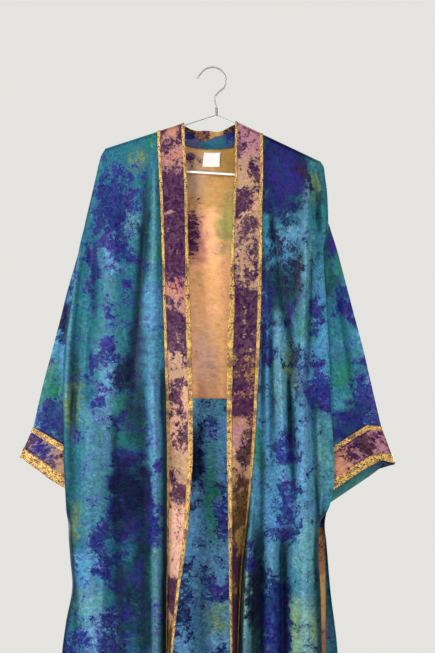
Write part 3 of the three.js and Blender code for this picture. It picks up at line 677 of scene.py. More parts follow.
# The patches' edges waver in long and short waves (shortest and longest, in millimetres, and how steep they
# are across and down), and are at most this soft, in millimetres.
LONG_WAVES, LONG_ACROSS, LONG_DOWN = (25, 110), 0.022, 0.038
SHORT_WAVES, SHORT_ACROSS, SHORT_DOWN = (9, 28), 0.06, 0.1
GROUND_SOFT, CLEARED_SOFT, BLOOM_SOFT = 30, 40, 44
# Some patches stand for light and shade on the folds: on front_right the dark_green patches at columns 140 to
# 152 and 131 to 147 lie in a trough as painted shade, and the sky patches at columns 143 to 168 lie on a ridge
# as painted highlight; on front_left the light_teal patch at columns 304 to 312 and the pale_green patch at
# columns 240 to 252 lie on ridges as painted highlight.
PLANS_AS_DRAWN = """
front_right: teal
teal 104 120 172 184
olive 130 150 143 166
green 146 132 156 152
light_sky 106 250 119 271
light_teal 123 197 139 249
dark_green 140 165 152 290, 131 285 147 400, 70 335 79 440
green 151 166 159 241, 150 233 162 263
sky 143 275 165 336, 146 318 168 500
teal 98 288 128 336
olive 65 374 82 441
teal 83 374 103 542
light_sky 101 318 113 504
green 112 388 134 448
dark_green 128 395 149 450, 115 440 151 545
night 116 465 150 540
light_teal 150 540 160 600
olive 73 498 82 541, 75 578 97 598
dark_green 127 535 168 665
night 117 535 131 665
green 142 545 160 600
light_teal 69 584 101 618
sky 66 548 108 584
light_sky 92 606 120 660
night 134 470 152 660
violet 96 152 140 290 0.52
indigo 95 175 126 250 0.8, 88 225 97 327 0.75
violet 123 285 131 293 0.7
navy 136 302 140 336 0.6
violet 90 352 97 378 0.8, 107 332 116 358 0.8, 100 385 106 409 0.8
navy 110 358 137 391 0.74
indigo 104 290 118 330 0.5, 100 338 112 392 0.6, 132 320 146 356 0.5, 106 412 128 428 0.7
navy 113 440 150 545 0.72
violet 157 461 166 473 0.8
indigo 149 496 165 547 0.75
violet 100 483 113 592 0.7
indigo 87 518 123 588 0.62, 95 598 125 655 0.7
violet 149 604 168 622 0.6
front_left: teal
sky 250 210 330 600
night 262 110 306 215
green 264 183 270 201
olive 306 163 320 202
light_teal 304 225 312 299
light_sky 280 221 302 238, 278 239 292 257
dark_green 296 225 304 336, 319 150 323 245
night 262 250 268 330
dark_green 264 258 300 330
green 299 300 310 352
dark_green 298 352 306 424
light_teal 273 308 286 442
olive 285 332 296 399
sky 295 444 317 572
light_teal 313 408 331 502
green 254 418 264 470
light_teal 294 500 318 590
pale_green 289 592 320 665
olive 294 612 306 634
pale_green 240 526 252 655
navy 260 110 306 228 0.74
indigo 266 130 302 218 0.66
violet 275 165 296 205 0.62
plum 296 156 308 182 0.9
brown_plum 283 246 301 296 0.7
indigo 256 205 273 422 0.68
navy 272 232 284 268 0.6
indigo 286 300 298 330 0.62
navy 262 224 300 300 0.5, 288 330 300 400 0.5
violet 310 293 322 337 0.75, 299 356 331 426 0.6, 309 371 331 415 0.85, 274 433 297 462 0.75
violet 277 472 297 541 0.75, 299 467 308 481 0.75
indigo 262 512 293 545 0.6
navy 246 528 266 655 0.7
violet 247 538 257 572 0.75
indigo 264 562 288 655 0.9
sleeves: sky
dark_green 320 180 329 243
green 325 253 346 287
teal 322 288 346 352, 327 330 351 413
green 336 346 352 400
dark_green 330 406 366 446
sky 60 230 92 300
green 39 373 65 404
violet 325 227 336 260 0.8
indigo 335 281 355 317 0.76
violet 353 352 381 432 0.76
indigo 330 406 368 446 0.56
violet 70 230 92 300 0.7
navy 56 300 78 340 0.78
indigo 37 401 65 442 0.75
back: teal
sky 158 385 242 700
light_sky 214 455 232 580
green 205 425 219 565
olive 208 604 227 638
navy 184 396 202 520 0.66
clear_violet 203 400 217 456 0.62, 217 478 230 548 0.62
indigo 173 548 196 665 0.66
clear_violet 204 575 228 602 0.8
indigo 208 638 228 665 0.56
back_inside: teal
pale_sky 150 385 250 700
night 186 396 202 514
sky 192 545 206 700
clear_green 205 425 219 565
pale_green 208 604 227 638
night 326 490 350 640
facing_blue 326 606 334 660
neckband_right: peach
peach 140 100 200 800
brown_mauve 140 60 200 372
salmon 150 100 200 136, 160 149 195 162
mauve 172 250 195 285
salmon 155 283 195 300
tan 155 362 195 382, 155 449 195 475
rose 155 505 195 575
ochre 140 600 195 740
plum 154 100 168 156 0.72, 178 100 194 160 0.76, 164 104 184 118 0.55, 166 136 180 150 0.5
plum 152 164 198 250 0.98, 163 206 171 216 0.35, 152 245 198 288 0.8, 152 298 198 362 0.76
plum 169 381 186 410 0.75, 166 418 179 439 0.66, 180 410 194 450 0.72, 164 470 192 505 0.68
plum 150 572 195 606 0.74
brown 150 608 195 740 0.6
neckband_left: peach
tan 215 60 270 400
mauve 225 90 265 160
peach 240 160 256 285
tan 225 219 262 265
ochre 225 352 262 387, 220 430 262 800
rust 225 387 262 430
mauve 225 427 240 440
plum 232 128 246 160 0.6, 249 140 262 165 0.5, 248 160 262 184 0.7, 225 184 258 222 0.72, 225 222 262 268 0.42
plum 250 219 258 268 0.58, 232 268 242 283 0.62, 246 268 258 283 0.7, 220 284 266 356 0.98
plum 246 292 249 345 0.3, 225 358 262 428 0.74
brown_plum 240 424 264 472 0.9
brown 225 468 264 545 0.66
brown_plum 218 540 264 800 0.8
plum 220 548 264 572 0.92, 220 600 264 645 0.9
neckband_back: salmon
ochre 130 60 290 180
rust 186 100 205 160
gold 205 100 222 160
brown_plum 160 100 190 160 0.7
plum 200 100 210 160 0.5
brown_plum 226 100 262 160 0.66
neckband_back_facing: facing_blue
teal 190 138 226 170
grey_violet 184 120 202 142, 208 118 226 138
indigo 180 110 194 130 0.6, 222 110 244 146 0.74
cuffs: tan
grey_mauve 10 360 120 520
dim_mauve 300 360 420 520
ochre 330 440 352 500
grey_mauve 30 400 66 470
tan 56 440 100 480
mauve 366 420 400 470
salmon 330 452 350 490
plum 14 390 46 476 0.74, 46 430 70 462 0.56
indigo 30 440 50 462 0.62
plum 326 380 366 466 0.78
brown_plum 363 420 373 480 0.95
plum 374 420 400 450 0.52
cuffs_inside: inside_teal
facing_blue 372 440 410 480
navy 374 450 410 480 0.7
back_yoke_lining: orange
pale_orange 150 100 280 440
gold 170 100 260 215
tan 176 140 206 200
ochre 216 130 250 178
moss 220 190 252 264
salmon 186 216 206 262
orange 196 262 226 300
rose 196 330 222 392
orange 212 300 240 400
plum 176 146 196 176 0.62, 180 182 202 268 0.52, 216 226 240 244 0.46
slit_facings: orange
rust 20 480 400 800
gold 20 585 400 625
brown 20 500 400 560 0.55
brown_plum 20 632 400 645 0.7
"""
plans = {}
for line in PLANS_AS_DRAWN.split("\n")[1:-1]:
    word, rest = line.split(" ", 1)
    if word.endswith(":"):
        grounds, blooms = [], []
        plans[word[:-1]] = rest, grounds, blooms
        continue
    for patch in rest.split(","):
        row = [float(side) for side in patch.split()]
        (grounds if len(row) == 4 else blooms).append((word, *row))
SILK_RANGE = ("teal", "sky", "green", "dark_green", "light_teal", "light_sky", "olive")
SILK_BLOOMS = ("indigo", "violet", "navy", "plum")
FAINT_BLOOM = 0.2  # the strength of the crystals that lie all over the cloth
AROUND = 25  # half breadth of the bell that tells ridges from creases, in millimetres


def strewn(seed, left, top, right, low, count):
    """Patches strewn over a range of the plan by a seeded generator, for the silk that the plans leave open:
    each is 12 to 40 squares wide and up to three times as tall."""
    rng = np.random.default_rng(seed)
    found = []
    for dyes, strengths in ((SILK_RANGE, None), (SILK_BLOOMS, (0.5, 0.85))):
        x, z = rng.uniform(left, right, count), rng.uniform(top, low, count)
        w, h = rng.uniform(6, 20, count), rng.uniform(12, 60, count)
        which = rng.integers(0, len(dyes), count)
        rows = [(dyes[k], a - b, c - d, a + b, c + d) for k, a, b, c, d in zip(which, x, w, z, h)]
        if strengths:
            rows = [(*row, value) for row, value in zip(rows, rng.uniform(*strengths, count))]
        found.append(rows)
    return found


def waver(x, z, seed, shortest, longest, steep):
    """A smooth random shift in millimetres: twelve waves that cross the cloth in all directions, each as high
    as its length times steep."""
    rng = np.random.default_rng(seed)
    way, length = rng.uniform(0, math.pi, 12), rng.uniform(shortest, longest, 12)
    phase = rng.uniform(0, 2 * math.pi, 12)
    along = x[:, None] * np.cos(way) + z[:, None] * np.sin(way)
    return (np.sin(2 * math.pi * along / length + phase) * length * steep).sum(axis=1)


def patch_share(x, z, patch, softest):
    """How much of a patch's dye a point takes: 1 inside a superellipse of the third power, 0 outside, over an
    edge as soft as four fifths of its smaller side, and at most softest."""
    left, top, right, low = ((np.array(patch) - (HOOK_COLUMN, HOOK_ROW) * 2) * PLAN_SQUARE).tolist()
    soft = np.clip(min(right - left, low - top) * 0.8, 10, softest)
    wide, tall = (right - left + soft) / 2, (low - top + soft) / 2
    across, down = np.abs(x - (left + right) / 2) / wide, np.abs(-z - (top + low) / 2) / tall
    reach = np.cbrt(across**3 + down**3)
    return smooth((1 - reach) * min(wide, tall) / soft)


def relief(points):
    """How far each point stands above the cloth around it, in millimetres, weighed by a bell: above 0 on a
    ridge."""
    x, height = points[..., 0], np.abs(points[..., 1])
    near = np.exp(-(((x[:, :, None] - x[:, None, :]) / AROUND) ** 2))
    near = near * np.abs(np.gradient(x, axis=1))[:, None, :]
    return height - (near * height[:, None, :]).sum(axis=2) / near.sum(axis=2)


def dye(mesh, points, plan, hidden, shade_relief, side=""):
    """Paints a mesh's own attributes from a dye plan: ground is the cloth's colour, bloom the strength of the
    crystals that lie on it and bloom_dye their colour. The shader draws the crystals' spikes. hidden is what
    is strewn under the plan. Where the cloth's relief is given, painted shade darkens the ground and the
    blooms in its creases, and a painted pale highlight lightens them on its ridges."""
    base, grounds, blooms = plan
    x, z = points[..., 0].ravel(), points[..., 2].ravel()
    x = x + waver(x, z, 1, *LONG_WAVES, LONG_ACROSS) + waver(x, z, 3, *SHORT_WAVES, SHORT_ACROSS)
    z = z + waver(x, z, 2, *LONG_WAVES, LONG_DOWN) + waver(x, z, 4, *SHORT_WAVES, SHORT_DOWN)
    ground = np.tile(linear(DYES[base]), (x.size, 1))
    bloom, bloom_dye = np.full(x.size, FAINT_BLOOM), np.tile(linear(DYES[blooms[0][0]]), (x.size, 1))
    for name, *patch in (*hidden[0], *grounds):
        ground = mix(ground, np.array(linear(DYES[name])), patch_share(x, z, patch, GROUND_SOFT)[:, None])
    for placed, rows in ((False, hidden[1]), (True, blooms)):
        if placed and hidden[1]:
            # the placed plan clears the strewn blooms wherever it has a patch of its own
            for _, *patch in grounds:
                bloom = mix(bloom, FAINT_BLOOM, patch_share(x, z, patch, CLEARED_SOFT) * 0.8)
        for name, *patch, strength in rows:
            share = patch_share(x, z, patch, BLOOM_SOFT)
            bloom = mix(bloom, strength, share)
            bloom_dye = mix(bloom_dye, np.array(linear(DYES[name])), share[:, None])
    if shade_relief is not None:
        # painted shade darkens the creases and a painted pale highlight lightens the ridges, by the cloth's
        # relief
        crease_shade, ridge_highlight = (smooth(way * shade_relief.ravel() / FULL_RELIEF)[:, None] for way in (-1, 1))
        ground = mix(ground, np.array(linear(CREASE_SHADE_COLOUR)), crease_shade * CREASE_SHADE_SHARE)
        ground = mix(ground, np.array(linear(RIDGE_HIGHLIGHT_COLOUR)), ridge_highlight * RIDGE_HIGHLIGHT_SHARE)
        bloom_dye = bloom_dye * (1 - 0.55 * crease_shade + 0.2 * ridge_highlight)
    for key, kind, field, values in (
        ("ground", "FLOAT_COLOR", "color", ground),
        ("bloom_dye", "FLOAT_COLOR", "color", bloom_dye),
        ("bloom", "FLOAT", "value", bloom),
    ):
        layer = mesh.attributes.new(side + key, kind, "POINT")
        layer.data.foreach_set(field, values.astype(np.float32).ravel())


# ---- Materials ----
# Kinds of shader node: its name, the inputs that its values go to in order, the output that is used, and its
# settings.
CLOTH_MAP = "UVMap", (), 0, {"uv_map": "cloth"}
OBJECT_PLACE = "TexCoord", (), "Object", {}
PAINTED_COLOUR, PAINTED_NUMBER = ("Attribute", (), 0, {}), ("Attribute", (), 2, {})
NOISE = "TexNoise", ("Vector", "Scale", "Detail", "Roughness", "Distortion"), 0, {}
RIDGES = *NOISE[:3], {"noise_type": "RIDGED_MULTIFRACTAL", "normalize": True}
WAVES = "TexWave", ("Vector", "Scale", "Distortion", "Detail"), 0, {}
STRETCH, TURN = ("Mapping", ("Vector", "Scale"), 0, {}), ("Mapping", ("Vector", "Rotation"), 0, {})
SMOOTHED = {"interpolation_type": "SMOOTHSTEP"}
RANGE = "MapRange", ("Value", "From Min", "From Max", "To Min", "To Max"), 0, SMOOTHED
LEVELS = "MapRange", ("Value", "To Min", "To Max"), 0, {}
MIX = "Mix", (0, 6, 7), 2, {"data_type": "RGBA"}
MULTIPLY = "Mix", (0, 6, 7), 2, {"data_type": "RGBA", "blend_type": "MULTIPLY"}
MIX_NUMBERS = "Mix", (0, 2, 3), 0, {"data_type": "FLOAT"}
TINT = "HueSaturation", ("Color", "Hue", "Saturation", "Value"), 0, {}
PRODUCT = "Math", (0, 1), 0, {"operation": "MULTIPLY"}
SUM = "Math", (0, 1, 2), 0, {"operation": "MULTIPLY_ADD"}  # the first times the second, and the third
BUMP = "Bump", ("Height", "Strength", "Distance", "Normal"), 0, {}
CAMERA_RAY = "LightPath", (), "Is Camera Ray", {}
SURFACE = ("Base Color", "Roughness", "Normal", "Metallic", "Sheen Weight", "Specular IOR Level")
SHADER, OUTPUT = ("BsdfPrincipled", SURFACE, 0, {}), ("OutputMaterial", ("Surface",), None, {})


def add(owner, kind, *values, **settings):
    """Adds one node to a material or world and gives its output. Its values are other nodes' outputs,
    numbers, or sRGB hex colours."""
    name, inputs, output, own = kind
    made = owner.node_tree.nodes.new("ShaderNode" + name)
    for key, value in (own | settings).items():
        setattr(made, key, value)
    for where, value in zip(inputs, values):
        if isinstance(value, bpy.types.NodeSocket):
            owner.node_tree.links.new(value, made.inputs[where])
        else:
            made.inputs[where].default_value = linear(value) if isinstance(value, str) else value
    return None if output is None else made.outputs[output]


def blank(name):
    """A material with an empty node tree."""
    material = bpy.data.materials.new(name)
    material.use_nodes = True
    material.node_tree.nodes.clear()
    return material


def surfaced(material, *values):
    """A material whose Principled shader takes the values, in the order of SURFACE."""
    add(material, OUTPUT, add(material, SHADER, *values))
    return material


def dyed_silk(name, crystal, spike, roughness, crinkle, mottling, depth, pale_dye, side=""):
    """Silk satin, woven white and dyed under melting ice, so grains of dye split and run into spiky blooms
    inside a softer wash, and thin dark veins cross the ground. crystal is the size of a bloom's spikes in
    metres, spike how far they break the edge, crinkle the height of the fine creases in metres, mottling how
    uneven the ground is, depth how dark the dye has dried and pale_dye its palest run. side names the set of
    dyes that it reads."""
    material = blank(name)
    node = functools.partial(add, material)
    cloth = node(CLOTH_MAP)
    ground, bloom_dye = (node(PAINTED_COLOUR, attribute_name=side + key) for key in ("ground", "bloom_dye"))
    bloom = node(PAINTED_NUMBER, attribute_name=side + "bloom")
    mottle, fine = node(NOISE, cloth, 38, 5, 0.62, 0.8), node(NOISE, cloth, 170, 5, 0.72, 0.6)
    hue = node(RANGE, mottle, 0.3, 0.7, 0.5 - 0.02 * mottling, 0.5 + 0.02 * mottling)
    value = node(RANGE, fine, 0.32, 0.68, depth * (1 - 0.42 * mottling), depth * (1 + 0.42 * mottling))
    colour = node(TINT, ground, hue, 0.97, value)
    # pale runs where the ice kept the dye off
    pale = node(RANGE, node(NOISE, cloth, 64, 6, 0.75, 1.4), 0.55, 0.7, 0, 0.5 * mottling)
    colour = node(MIX, pale, colour, node(MIX, 0.08, node(TINT, ground, hue, 0.74, 2.0), pale_dye))
    # dark veins where two runs of dye met, in two sizes
    coarse_vein, fine_vein = node(RIDGES, cloth, 60, 5, 0.6, 0.8), node(RIDGES, cloth, 135, 5, 0.65, 1.0)
    veined = node(TINT, node(MULTIPLY, 0.6, bloom_dye, ground), 0.5, 1.0, 0.8)
    colour = node(MIX, node(RANGE, coarse_vein, 0.6, 0.8, 0, 0.6 * mottling), colour, veined)
    colour = node(MIX, node(RANGE, fine_vein, 0.62, 0.8, 0, 0.5 * mottling), colour, veined)
    # a bloom: strength is where its noise stands against the painted strength, half where it covers half of
    # the cloth
    spikes = node(NOISE, cloth, 1 / crystal, 6, 0.75, 0.9)
    drift = node(NOISE, cloth, 0.2 / crystal, 3, 0.6, 0.5)
    strength = node(SUM, spikes, spike, node(SUM, drift, spike * 0.9, bloom))
    half = 0.5 + spike * 0.95
    wash = node(RANGE, strength, half - 0.34, half + 0.16, 0, 0.62)
    colour = node(MIX, wash, colour, node(MIX, 0.3, node(TINT, bloom_dye, hue, 0.97, 1.35), ground))
    deep = node(RANGE, node(NOISE, cloth, 160, 5, 0.72, 1.0), 0.34, 0.66, depth * 0.3, depth * 1.25)
    crisp = node(RANGE, node(SUM, fine_vein, spike * 0.3, strength), half - 0.02, half + 0.07)
    # the grains of dye dried thinner here and there inside a bloom
    thin = node(RANGE, node(NOISE, cloth, 95, 5, 0.7, 1.2), 0.36, 0.6, 0.66, 1.0)
    colour = node(MIX, node(PRODUCT, crisp, thin), colour, node(TINT, bloom_dye, hue, 1.0, deep))
    crease = node(NOISE, node(STRETCH, cloth, (240, 60, 1)), 1, 3, 0.5, 0.6)
    # a real thread is 0.1 mm, too fine to show: drawn at 0.9 mm
    threads = node(NOISE, node(STRETCH, cloth, (1100, 700, 1)), 1, 1, 0.6)
    bump = node(BUMP, crease, 0.5, crinkle, node(BUMP, threads, 0.25, 0.0002))
    gloss = node(RANGE, fine, 0.3, 0.7, roughness - 0.05, roughness + 0.07)
    return surfaced(material, colour, gloss, bump, 0, 0.01, 0.08)


def gold_edging():
    """Brocade ribbon, woven of gilt and plum threads: gilt scrolls 4 mm across stand on a darker ground,
    crossed by the diagonal of the weave, and the gilt is only a little metallic."""
    material = blank("Brocade_edging_gilt_thread")
    node = functools.partial(add, material)
    cloth = node(CLOTH_MAP)
    figure = node(RANGE, node(NOISE, cloth, 180, 2, 0.5, 2.2), 0.53, 0.56)
    gilt = node(MIX, node(NOISE, cloth, 60, 3), "#b07c30", "#f2cb6c")
    # the dye of the band has run into the edging here and there
    stain = node(RANGE, node(NOISE, cloth, 34, 5, 0.7), 0.5, 0.6, 0, 0.8)
    colour = node(MIX, stain, node(MIX, figure, gilt, "#3f1a30"), "#5a2f2c")
    ribs = node(WAVES, node(TURN, cloth, (0, 0, 0.8)), 140, 1.5, 1)
    bump = node(BUMP, node(SUM, figure, -0.6, ribs), 0.7, 0.0004)
    return surfaced(material, colour, node(LEVELS, figure, 0.36, 0.6), bump, 0.25, 0.15)


THREADS_AT_SCALE_1 = 6.3  # to the metre; a wave texture of scale 1 has 3.18 waves, so a row is two threads wide


def woven(name, light, dark, threads, roughness):
    """Plain woven cloth or spun thread of one colour: rows shade and lift its surface. They are drawn twice
    as coarse as the threads, which are given to the metre."""
    material = blank(name)
    node = functools.partial(add, material)
    place = node(OBJECT_PLACE)
    scale = threads / THREADS_AT_SCALE_1
    height = node(PRODUCT, *(node(WAVES, place, scale, 0.6, bands_direction=way) for way in "XZ"))
    colour, bump = node(MIX, height, dark, light), node(BUMP, height, 0.5, 0.0003)
    return surfaced(material, colour, roughness, bump, 0, 0.1)


def drawn_steel(name, dull, bright, metallic):
    """Galvanised steel wire, drawn through a die: grey, with blotchy dulling of the zinc."""
    material = blank(name)
    node = functools.partial(add, material)
    zinc = node(NOISE, node(OBJECT_PLACE), 260, 4)
    colour, gloss = node(MIX, zinc, dull, bright), node(LEVELS, zinc, 0.42, 0.58)
    return surfaced(material, colour, gloss, node(BUMP, zinc, 0.08, 0.0001), metallic)


# Ice-dyed silk satin: thin, glossy and limp, so its many soft ridges catch the light.
satin = 0.006, 1.7, 0.46, 0.0005, 0.95, 0.76, "#a4c8dc"
silk = dyed_silk("Ice_dyed_silk_satin", *satin)
# The same silk's inner face, where the dye has soaked through; on the back it takes paler dyes, painted
# light that lifts the shade inside the robe.
silk_inside = dyed_silk("Ice_dyed_silk_satin_inner_face", *satin, "inside_")
# The same silk dyed in warm colours and backed with a stiffener: smoother, with coarser blooms.
band_silk = dyed_silk("Band_silk_ice_dyed_warm", 0.007, 1.8, 0.46, 0.0003, 0.6, 0.92, "#e6c6a4")
# Lining silk: plain weave and duller.
lining_silk = dyed_silk("Lining_silk_habotai", 0.012, 1.2, 0.52, 0.0004, 0.3, 1.0, "#f0cda8")
# The silk of the neck facing and of the inside of the cuffs: plain weave, cool colours.
inner_silk = dyed_silk("Facing_silk_habotai", 0.01, 1.2, 0.5, 0.0004, 0.6, 0.66, "#8c9cc4")
cuff_facing = dyed_silk("Cuff_facing_silk_habotai", 0.01, 1.2, 0.5, 0.0004, 0.6, 1.0, "#8cc4b4", "inside_")
edging = gold_edging()
# Woven satin label: white, dense and slightly shiny.
label_cloth = woven("Woven_label_satin", "#f6f4ee", "#dcd8ce", 1400, 0.5)
# Polyester sewing thread, spun: gold on the edgings, blue on the silk, orange on the lining.
gold_thread = woven("Sewing_thread_gold", "#e9c36a", "#a9782e", 2500, 0.5)
blue_thread = woven("Sewing_thread_blue", "#2f5f86", "#14304c", 2500, 0.5)
orange_thread = woven("Sewing_thread_orange", "#e2a563", "#9a6431", 2500, 0.5)
steel = drawn_steel("Galvanised_steel_wire", "#85898c", "#b4b7b9", 0.9)
# The same wire on the frame, painted paler and whiter: a painted reflection of the bright room that it catches.
steel_painted_highlight = drawn_steel("Galvanised_steel_wire_painted_highlight", "#b9bcbe", "#e8e9ea", 0.6)
# White kraft paper, wound and glued.
bar_paper = woven("White_paper_tube", "#fbfaf6", "#efece4", 900, 0.7)

# ---- The pieces ----
FORWARD, REARWARD = np.array([0, -1, 0]), np.array([0, 1, 0])
CLEAR = 0.1  # between things that lie on each other
INSIDE = SILK + SEAM_GAP + CLEAR  # from the middle of the back to the middle of what lies on it
ON_BAND = DOUBLE_SILK / 2 + EDGING / 2 + CLEAR
ON_SILK, ON_EDGING = SILK / 2 + CLEAR, EDGING / 2 + 0.12  # from a cloth's middle to that of its stitches
COLLAR_SILK, CUFF_SILK = 1.2, 1.1  # folded double too, and pressed flatter
LINE_AT = 1, 5  # the two rows of stitches on a ribbon, of its seven rows of points
STITCH_STEP, STITCH_LONG, STITCH_RADIUS = 3.4, 2.3, 0.26
SILK_SHEET, BAND_SHEET = (silk, "silk", SILK), (band_silk, "band_silk", DOUBLE_SILK)
LINING_SHEET = lining_silk, "lining_silk", SILK
pieces = {}


def cloth(
    name, points, ends, plan, sheet, facing,
    hidden=((), ()), anchor=0, closed=False, shade_relief=None, inside=None,
):
    """A sheet of dyed cloth on a grid. ends are its first and last column's places across the flat cloth, and
    sheet is its material, a slot name that is not used, and its wall. Where its inner face differs, inside
    gives that face's plan and material."""
    material, slot, wall = sheet
    materials = [material]
    mesh = grid_mesh(name, points, cloth_coordinates(points, *ends, anchor, closed), facing, closed)
    dye(mesh, points, plan, hidden, shade_relief)
    if inside:
        dye(mesh, points, inside[0], hidden, shade_relief, "inside_")
        materials.append(inside[1])
    pieces[name] = piece(f"{name}_cloth", mesh, materials, (name,), wall)


def ribbon(name, points, along, facing, raise_by, closed=False):
    """A strip of gold edging on a grid of the cloth below it, raised off its face. Gives the grid of its
    stitches."""
    points = raised(points, raise_by, facing, closed)
    mesh = grid_mesh(name, points, cloth_coordinates(points, 0, along, 0, closed), facing, closed)
    pieces[name] = piece(f"{name}_ribbon", mesh, [edging], (name,), EDGING)
    return raised(points, ON_EDGING, facing, closed)


def stitch_row(name, lines, thread):
    """Rows of stitches: each is a slim eight-sided spindle, set every step along its line."""
    centres, ways = [], []
    for line in lines:
        run = np.concatenate([[0], np.cumsum(np.linalg.norm(np.diff(line, axis=0), axis=1))])
        at = np.arange(STITCH_STEP / 2, run[-1] - STITCH_STEP / 2, STITCH_STEP)
        start, end = (
            np.stack([np.interp(at + shift, run, line[:, k]) for k in range(3)], axis=1)
            for shift in (-STITCH_LONG / 2, STITCH_LONG / 2)
        )
        centres.append((start + end) / 2)
        ways.append(end - start)
    centre, way = np.concatenate(centres), unit(np.concatenate(ways))
    aside = unit(np.cross(way, REARWARD + 0.01))
    third = np.cross(way, aside)
    spokes = way * STITCH_LONG / 2, aside * STITCH_RADIUS, third * STITCH_RADIUS
    spokes = (*spokes, -spokes[1], -spokes[2], -spokes[0])
    points = np.stack([centre + spoke for spoke in spokes], axis=1).reshape(-1, 3)
    fan = np.array([(0, 1, 2), (0, 2, 3), (0, 3, 4), (0, 4, 1), (5, 2, 1), (5, 3, 2), (5, 4, 3), (5, 1, 4)])
    faces = (np.arange(len(centre))[:, None, None] * len(spokes) + fan).reshape(-1, 3)
    pieces[name] = piece(name, plain_mesh(name, points * MM, faces.tolist()), [thread])


def gap_in(points, column, towards):
    """Draws the grid's edge column in by half of the seam's gap."""
    points = points.copy()
    points[:, column] += unit(points[:, towards] - points[:, column]) * SEAM_GAP / 2
    return points


# The free edging is folded round the band's edge at the neck: the width that shows there and lower down, the
# height below which it widens and over how much, and the share of the band by which it laps over the edge.
NECK_SHOWN, FULLY_SHOWN = {"right": 5.6, "left": 4.0}, 9.4
WIDENS_FROM, WIDENS_OVER, LAPPED = -310, 150, -0.012
SEAM_SHOWN = 6.2  # the width that shows of the seam's edging
for name, side, rows, folds, seed, left, right in (
    ("right", -1, FRONT_RIGHT, FOLDS_RIGHT, 11, 60, 175),
    ("left", 1, FRONT_LEFT, FOLDS_LEFT, 12, 240, 340),
):
    front, band = f"front_{name}", f"neckband_{name}"
    panel = gap_in(front_points(rows, folds, False, np.linspace(0, 1, 101)), 0, 1)
    ends, hidden = (side * 95, side * 280), strewn(seed, left, 640, right, 800, 14)
    # the panel's relief paints shade into its creases and a pale highlight onto its ridges
    cloth(front, panel, ends, plans[front], SILK_SHEET, FORWARD, hidden, ANCHOR, shade_relief=relief(panel))
    grid = gap_in(front_points(rows, folds, True, np.linspace(0, 1, 25)), -1, -2)
    cloth(band, grid, (side * 39, side * 95), plans[band], BAND_SHEET, FORWARD, anchor=ANCHOR)
    shown = mix(NECK_SHOWN[name], FULLY_SHOWN, smooth((WIDENS_FROM - ROWS) / WIDENS_OVER)) / BAND_WIDTH
    lines = []
    for edge, start, end in (("free", LAPPED, shown), ("seam", 1 - SEAM_SHOWN / BAND_WIDTH, 1.0)):
        strip = front_points(rows, folds, True, mix(start, end, np.linspace(0, 1, 7)))
        top = ribbon(f"band_edging_{edge}_{name}", strip, BAND_EDGING, FORWARD, ON_BAND)
        lines += [top[:, k] for k in LINE_AT]
    stitch_row(f"band_stitches_{name}", lines, gold_thread)
    hem = raised(panel, ON_SILK, FORWARD)
    stitch_row(f"front_hem_stitches_{name}", [hem[-3], hem[ANCHOR + 40 :, -5]], blue_thread)

back = back_points(BACK_ROWS, np.linspace(0, 1, 131))
# the back's inner face takes a plan of paler dyes: painted light that lifts the shade inside the robe
inside = (*plans["back_inside"][:2], plans["back"][2]), silk_inside
# the back's relief, halved, paints shade into its creases and a pale highlight onto its ridges
hidden, shade_relief = strewn(21, 70, 130, 350, 800, 85), relief(back) * 0.5
cloth("back", back, (-205, 203), plans["back"], SILK_SHEET, REARWARD, hidden, shade_relief=shade_relief, inside=inside)
outside = raised(back, ON_SILK, REARWARD)
stitch_row("back_hem_stitches", [outside[-3], outside[140:, 4], outside[140:, -5]], blue_thread)

name = "neckband_back"
collar = collar_points(np.linspace(0, 1, 25)[:, None], np.linspace(0, 1, 121))
cloth(name, collar, (NECK_RIGHT, NECK_LEFT), plans[name], (band_silk, "band_silk", COLLAR_SILK), REARWARD)
# the band's loose edge rolls over the facing, most to the right of the middle
name, shares = "neckband_back_facing", np.linspace(0.11, 0.89, 91)
facing_top = 0.82 - 0.34 * np.exp(-(((shares - 0.41) / 0.12) ** 2))
grid = raised(collar_points(np.linspace(0, 1, 21)[:, None] * facing_top, shares), 1.4, FORWARD)
cloth(name, grid, (-80, 70), plans[name], (inner_silk, "inner_silk", SILK), FORWARD)
lines = []
share = BAND_EDGING / BAND_WIDTH
for edge, start, end in (("seam", 0, share), ("top", 1 - share, 1)):
    strip = collar_points(np.linspace(start, end, 7)[:, None], np.linspace(0.06, 0.94, 101))
    top = ribbon(f"collar_edging_{edge}", strip, 190, REARWARD, COLLAR_SILK / 2 + EDGING / 2 + CLEAR)
    lines += [top[k] for k in LINE_AT]
stitch_row("collar_stitches", lines, gold_thread)

name = "back_yoke_lining"
down = np.linspace(SHOULDER_Z, LINING_LOW, 110)[:, None]
lining = raised(back_points(down, np.linspace(LINING_RIGHT, LINING_LEFT, 71)), INSIDE, FORWARD)
cloth(name, lining, (-80, 80), plans[name], LINING_SHEET, FORWARD)
top = raised(lining, ON_SILK, FORWARD)
stitch_row("lining_stitches", [top[-4], top[:, 2], top[:, -3]], orange_thread)

# the slit facings' plan lays brown over their top as painted shade, where they run in behind the fronts
down = np.linspace(SLIT_TOP, HEM_Z + 1, 90)[:, None]
for name, start, end in (("right", -256, -230), ("left", 187, 214)):
    strip = raised(back_points(down, shares_at(down, np.linspace(start, end, 13))), INSIDE, FORWARD)
    cloth(f"slit_facing_{name}", strip, (0, 26), plans["slit_facings"], LINING_SHEET, FORWARD)
    top = raised(strip, ON_SILK, FORWARD)
    stitch_row(f"slit_stitches_{name}", [top[:, 1], top[:, -2]], orange_thread)

label = back_points(np.linspace(-131, -161, 12)[:, None], np.linspace(0.4705, 0.5268, 17))
label = raised(label, 2 * INSIDE + EDGING, FORWARD)
mesh = grid_mesh("neck_label", label, cloth_coordinates(label, 0, 33), FORWARD)
pieces["neck_label"] = piece("neck_label_cloth", mesh, [label_cloth], ("neck_label",), EDGING)

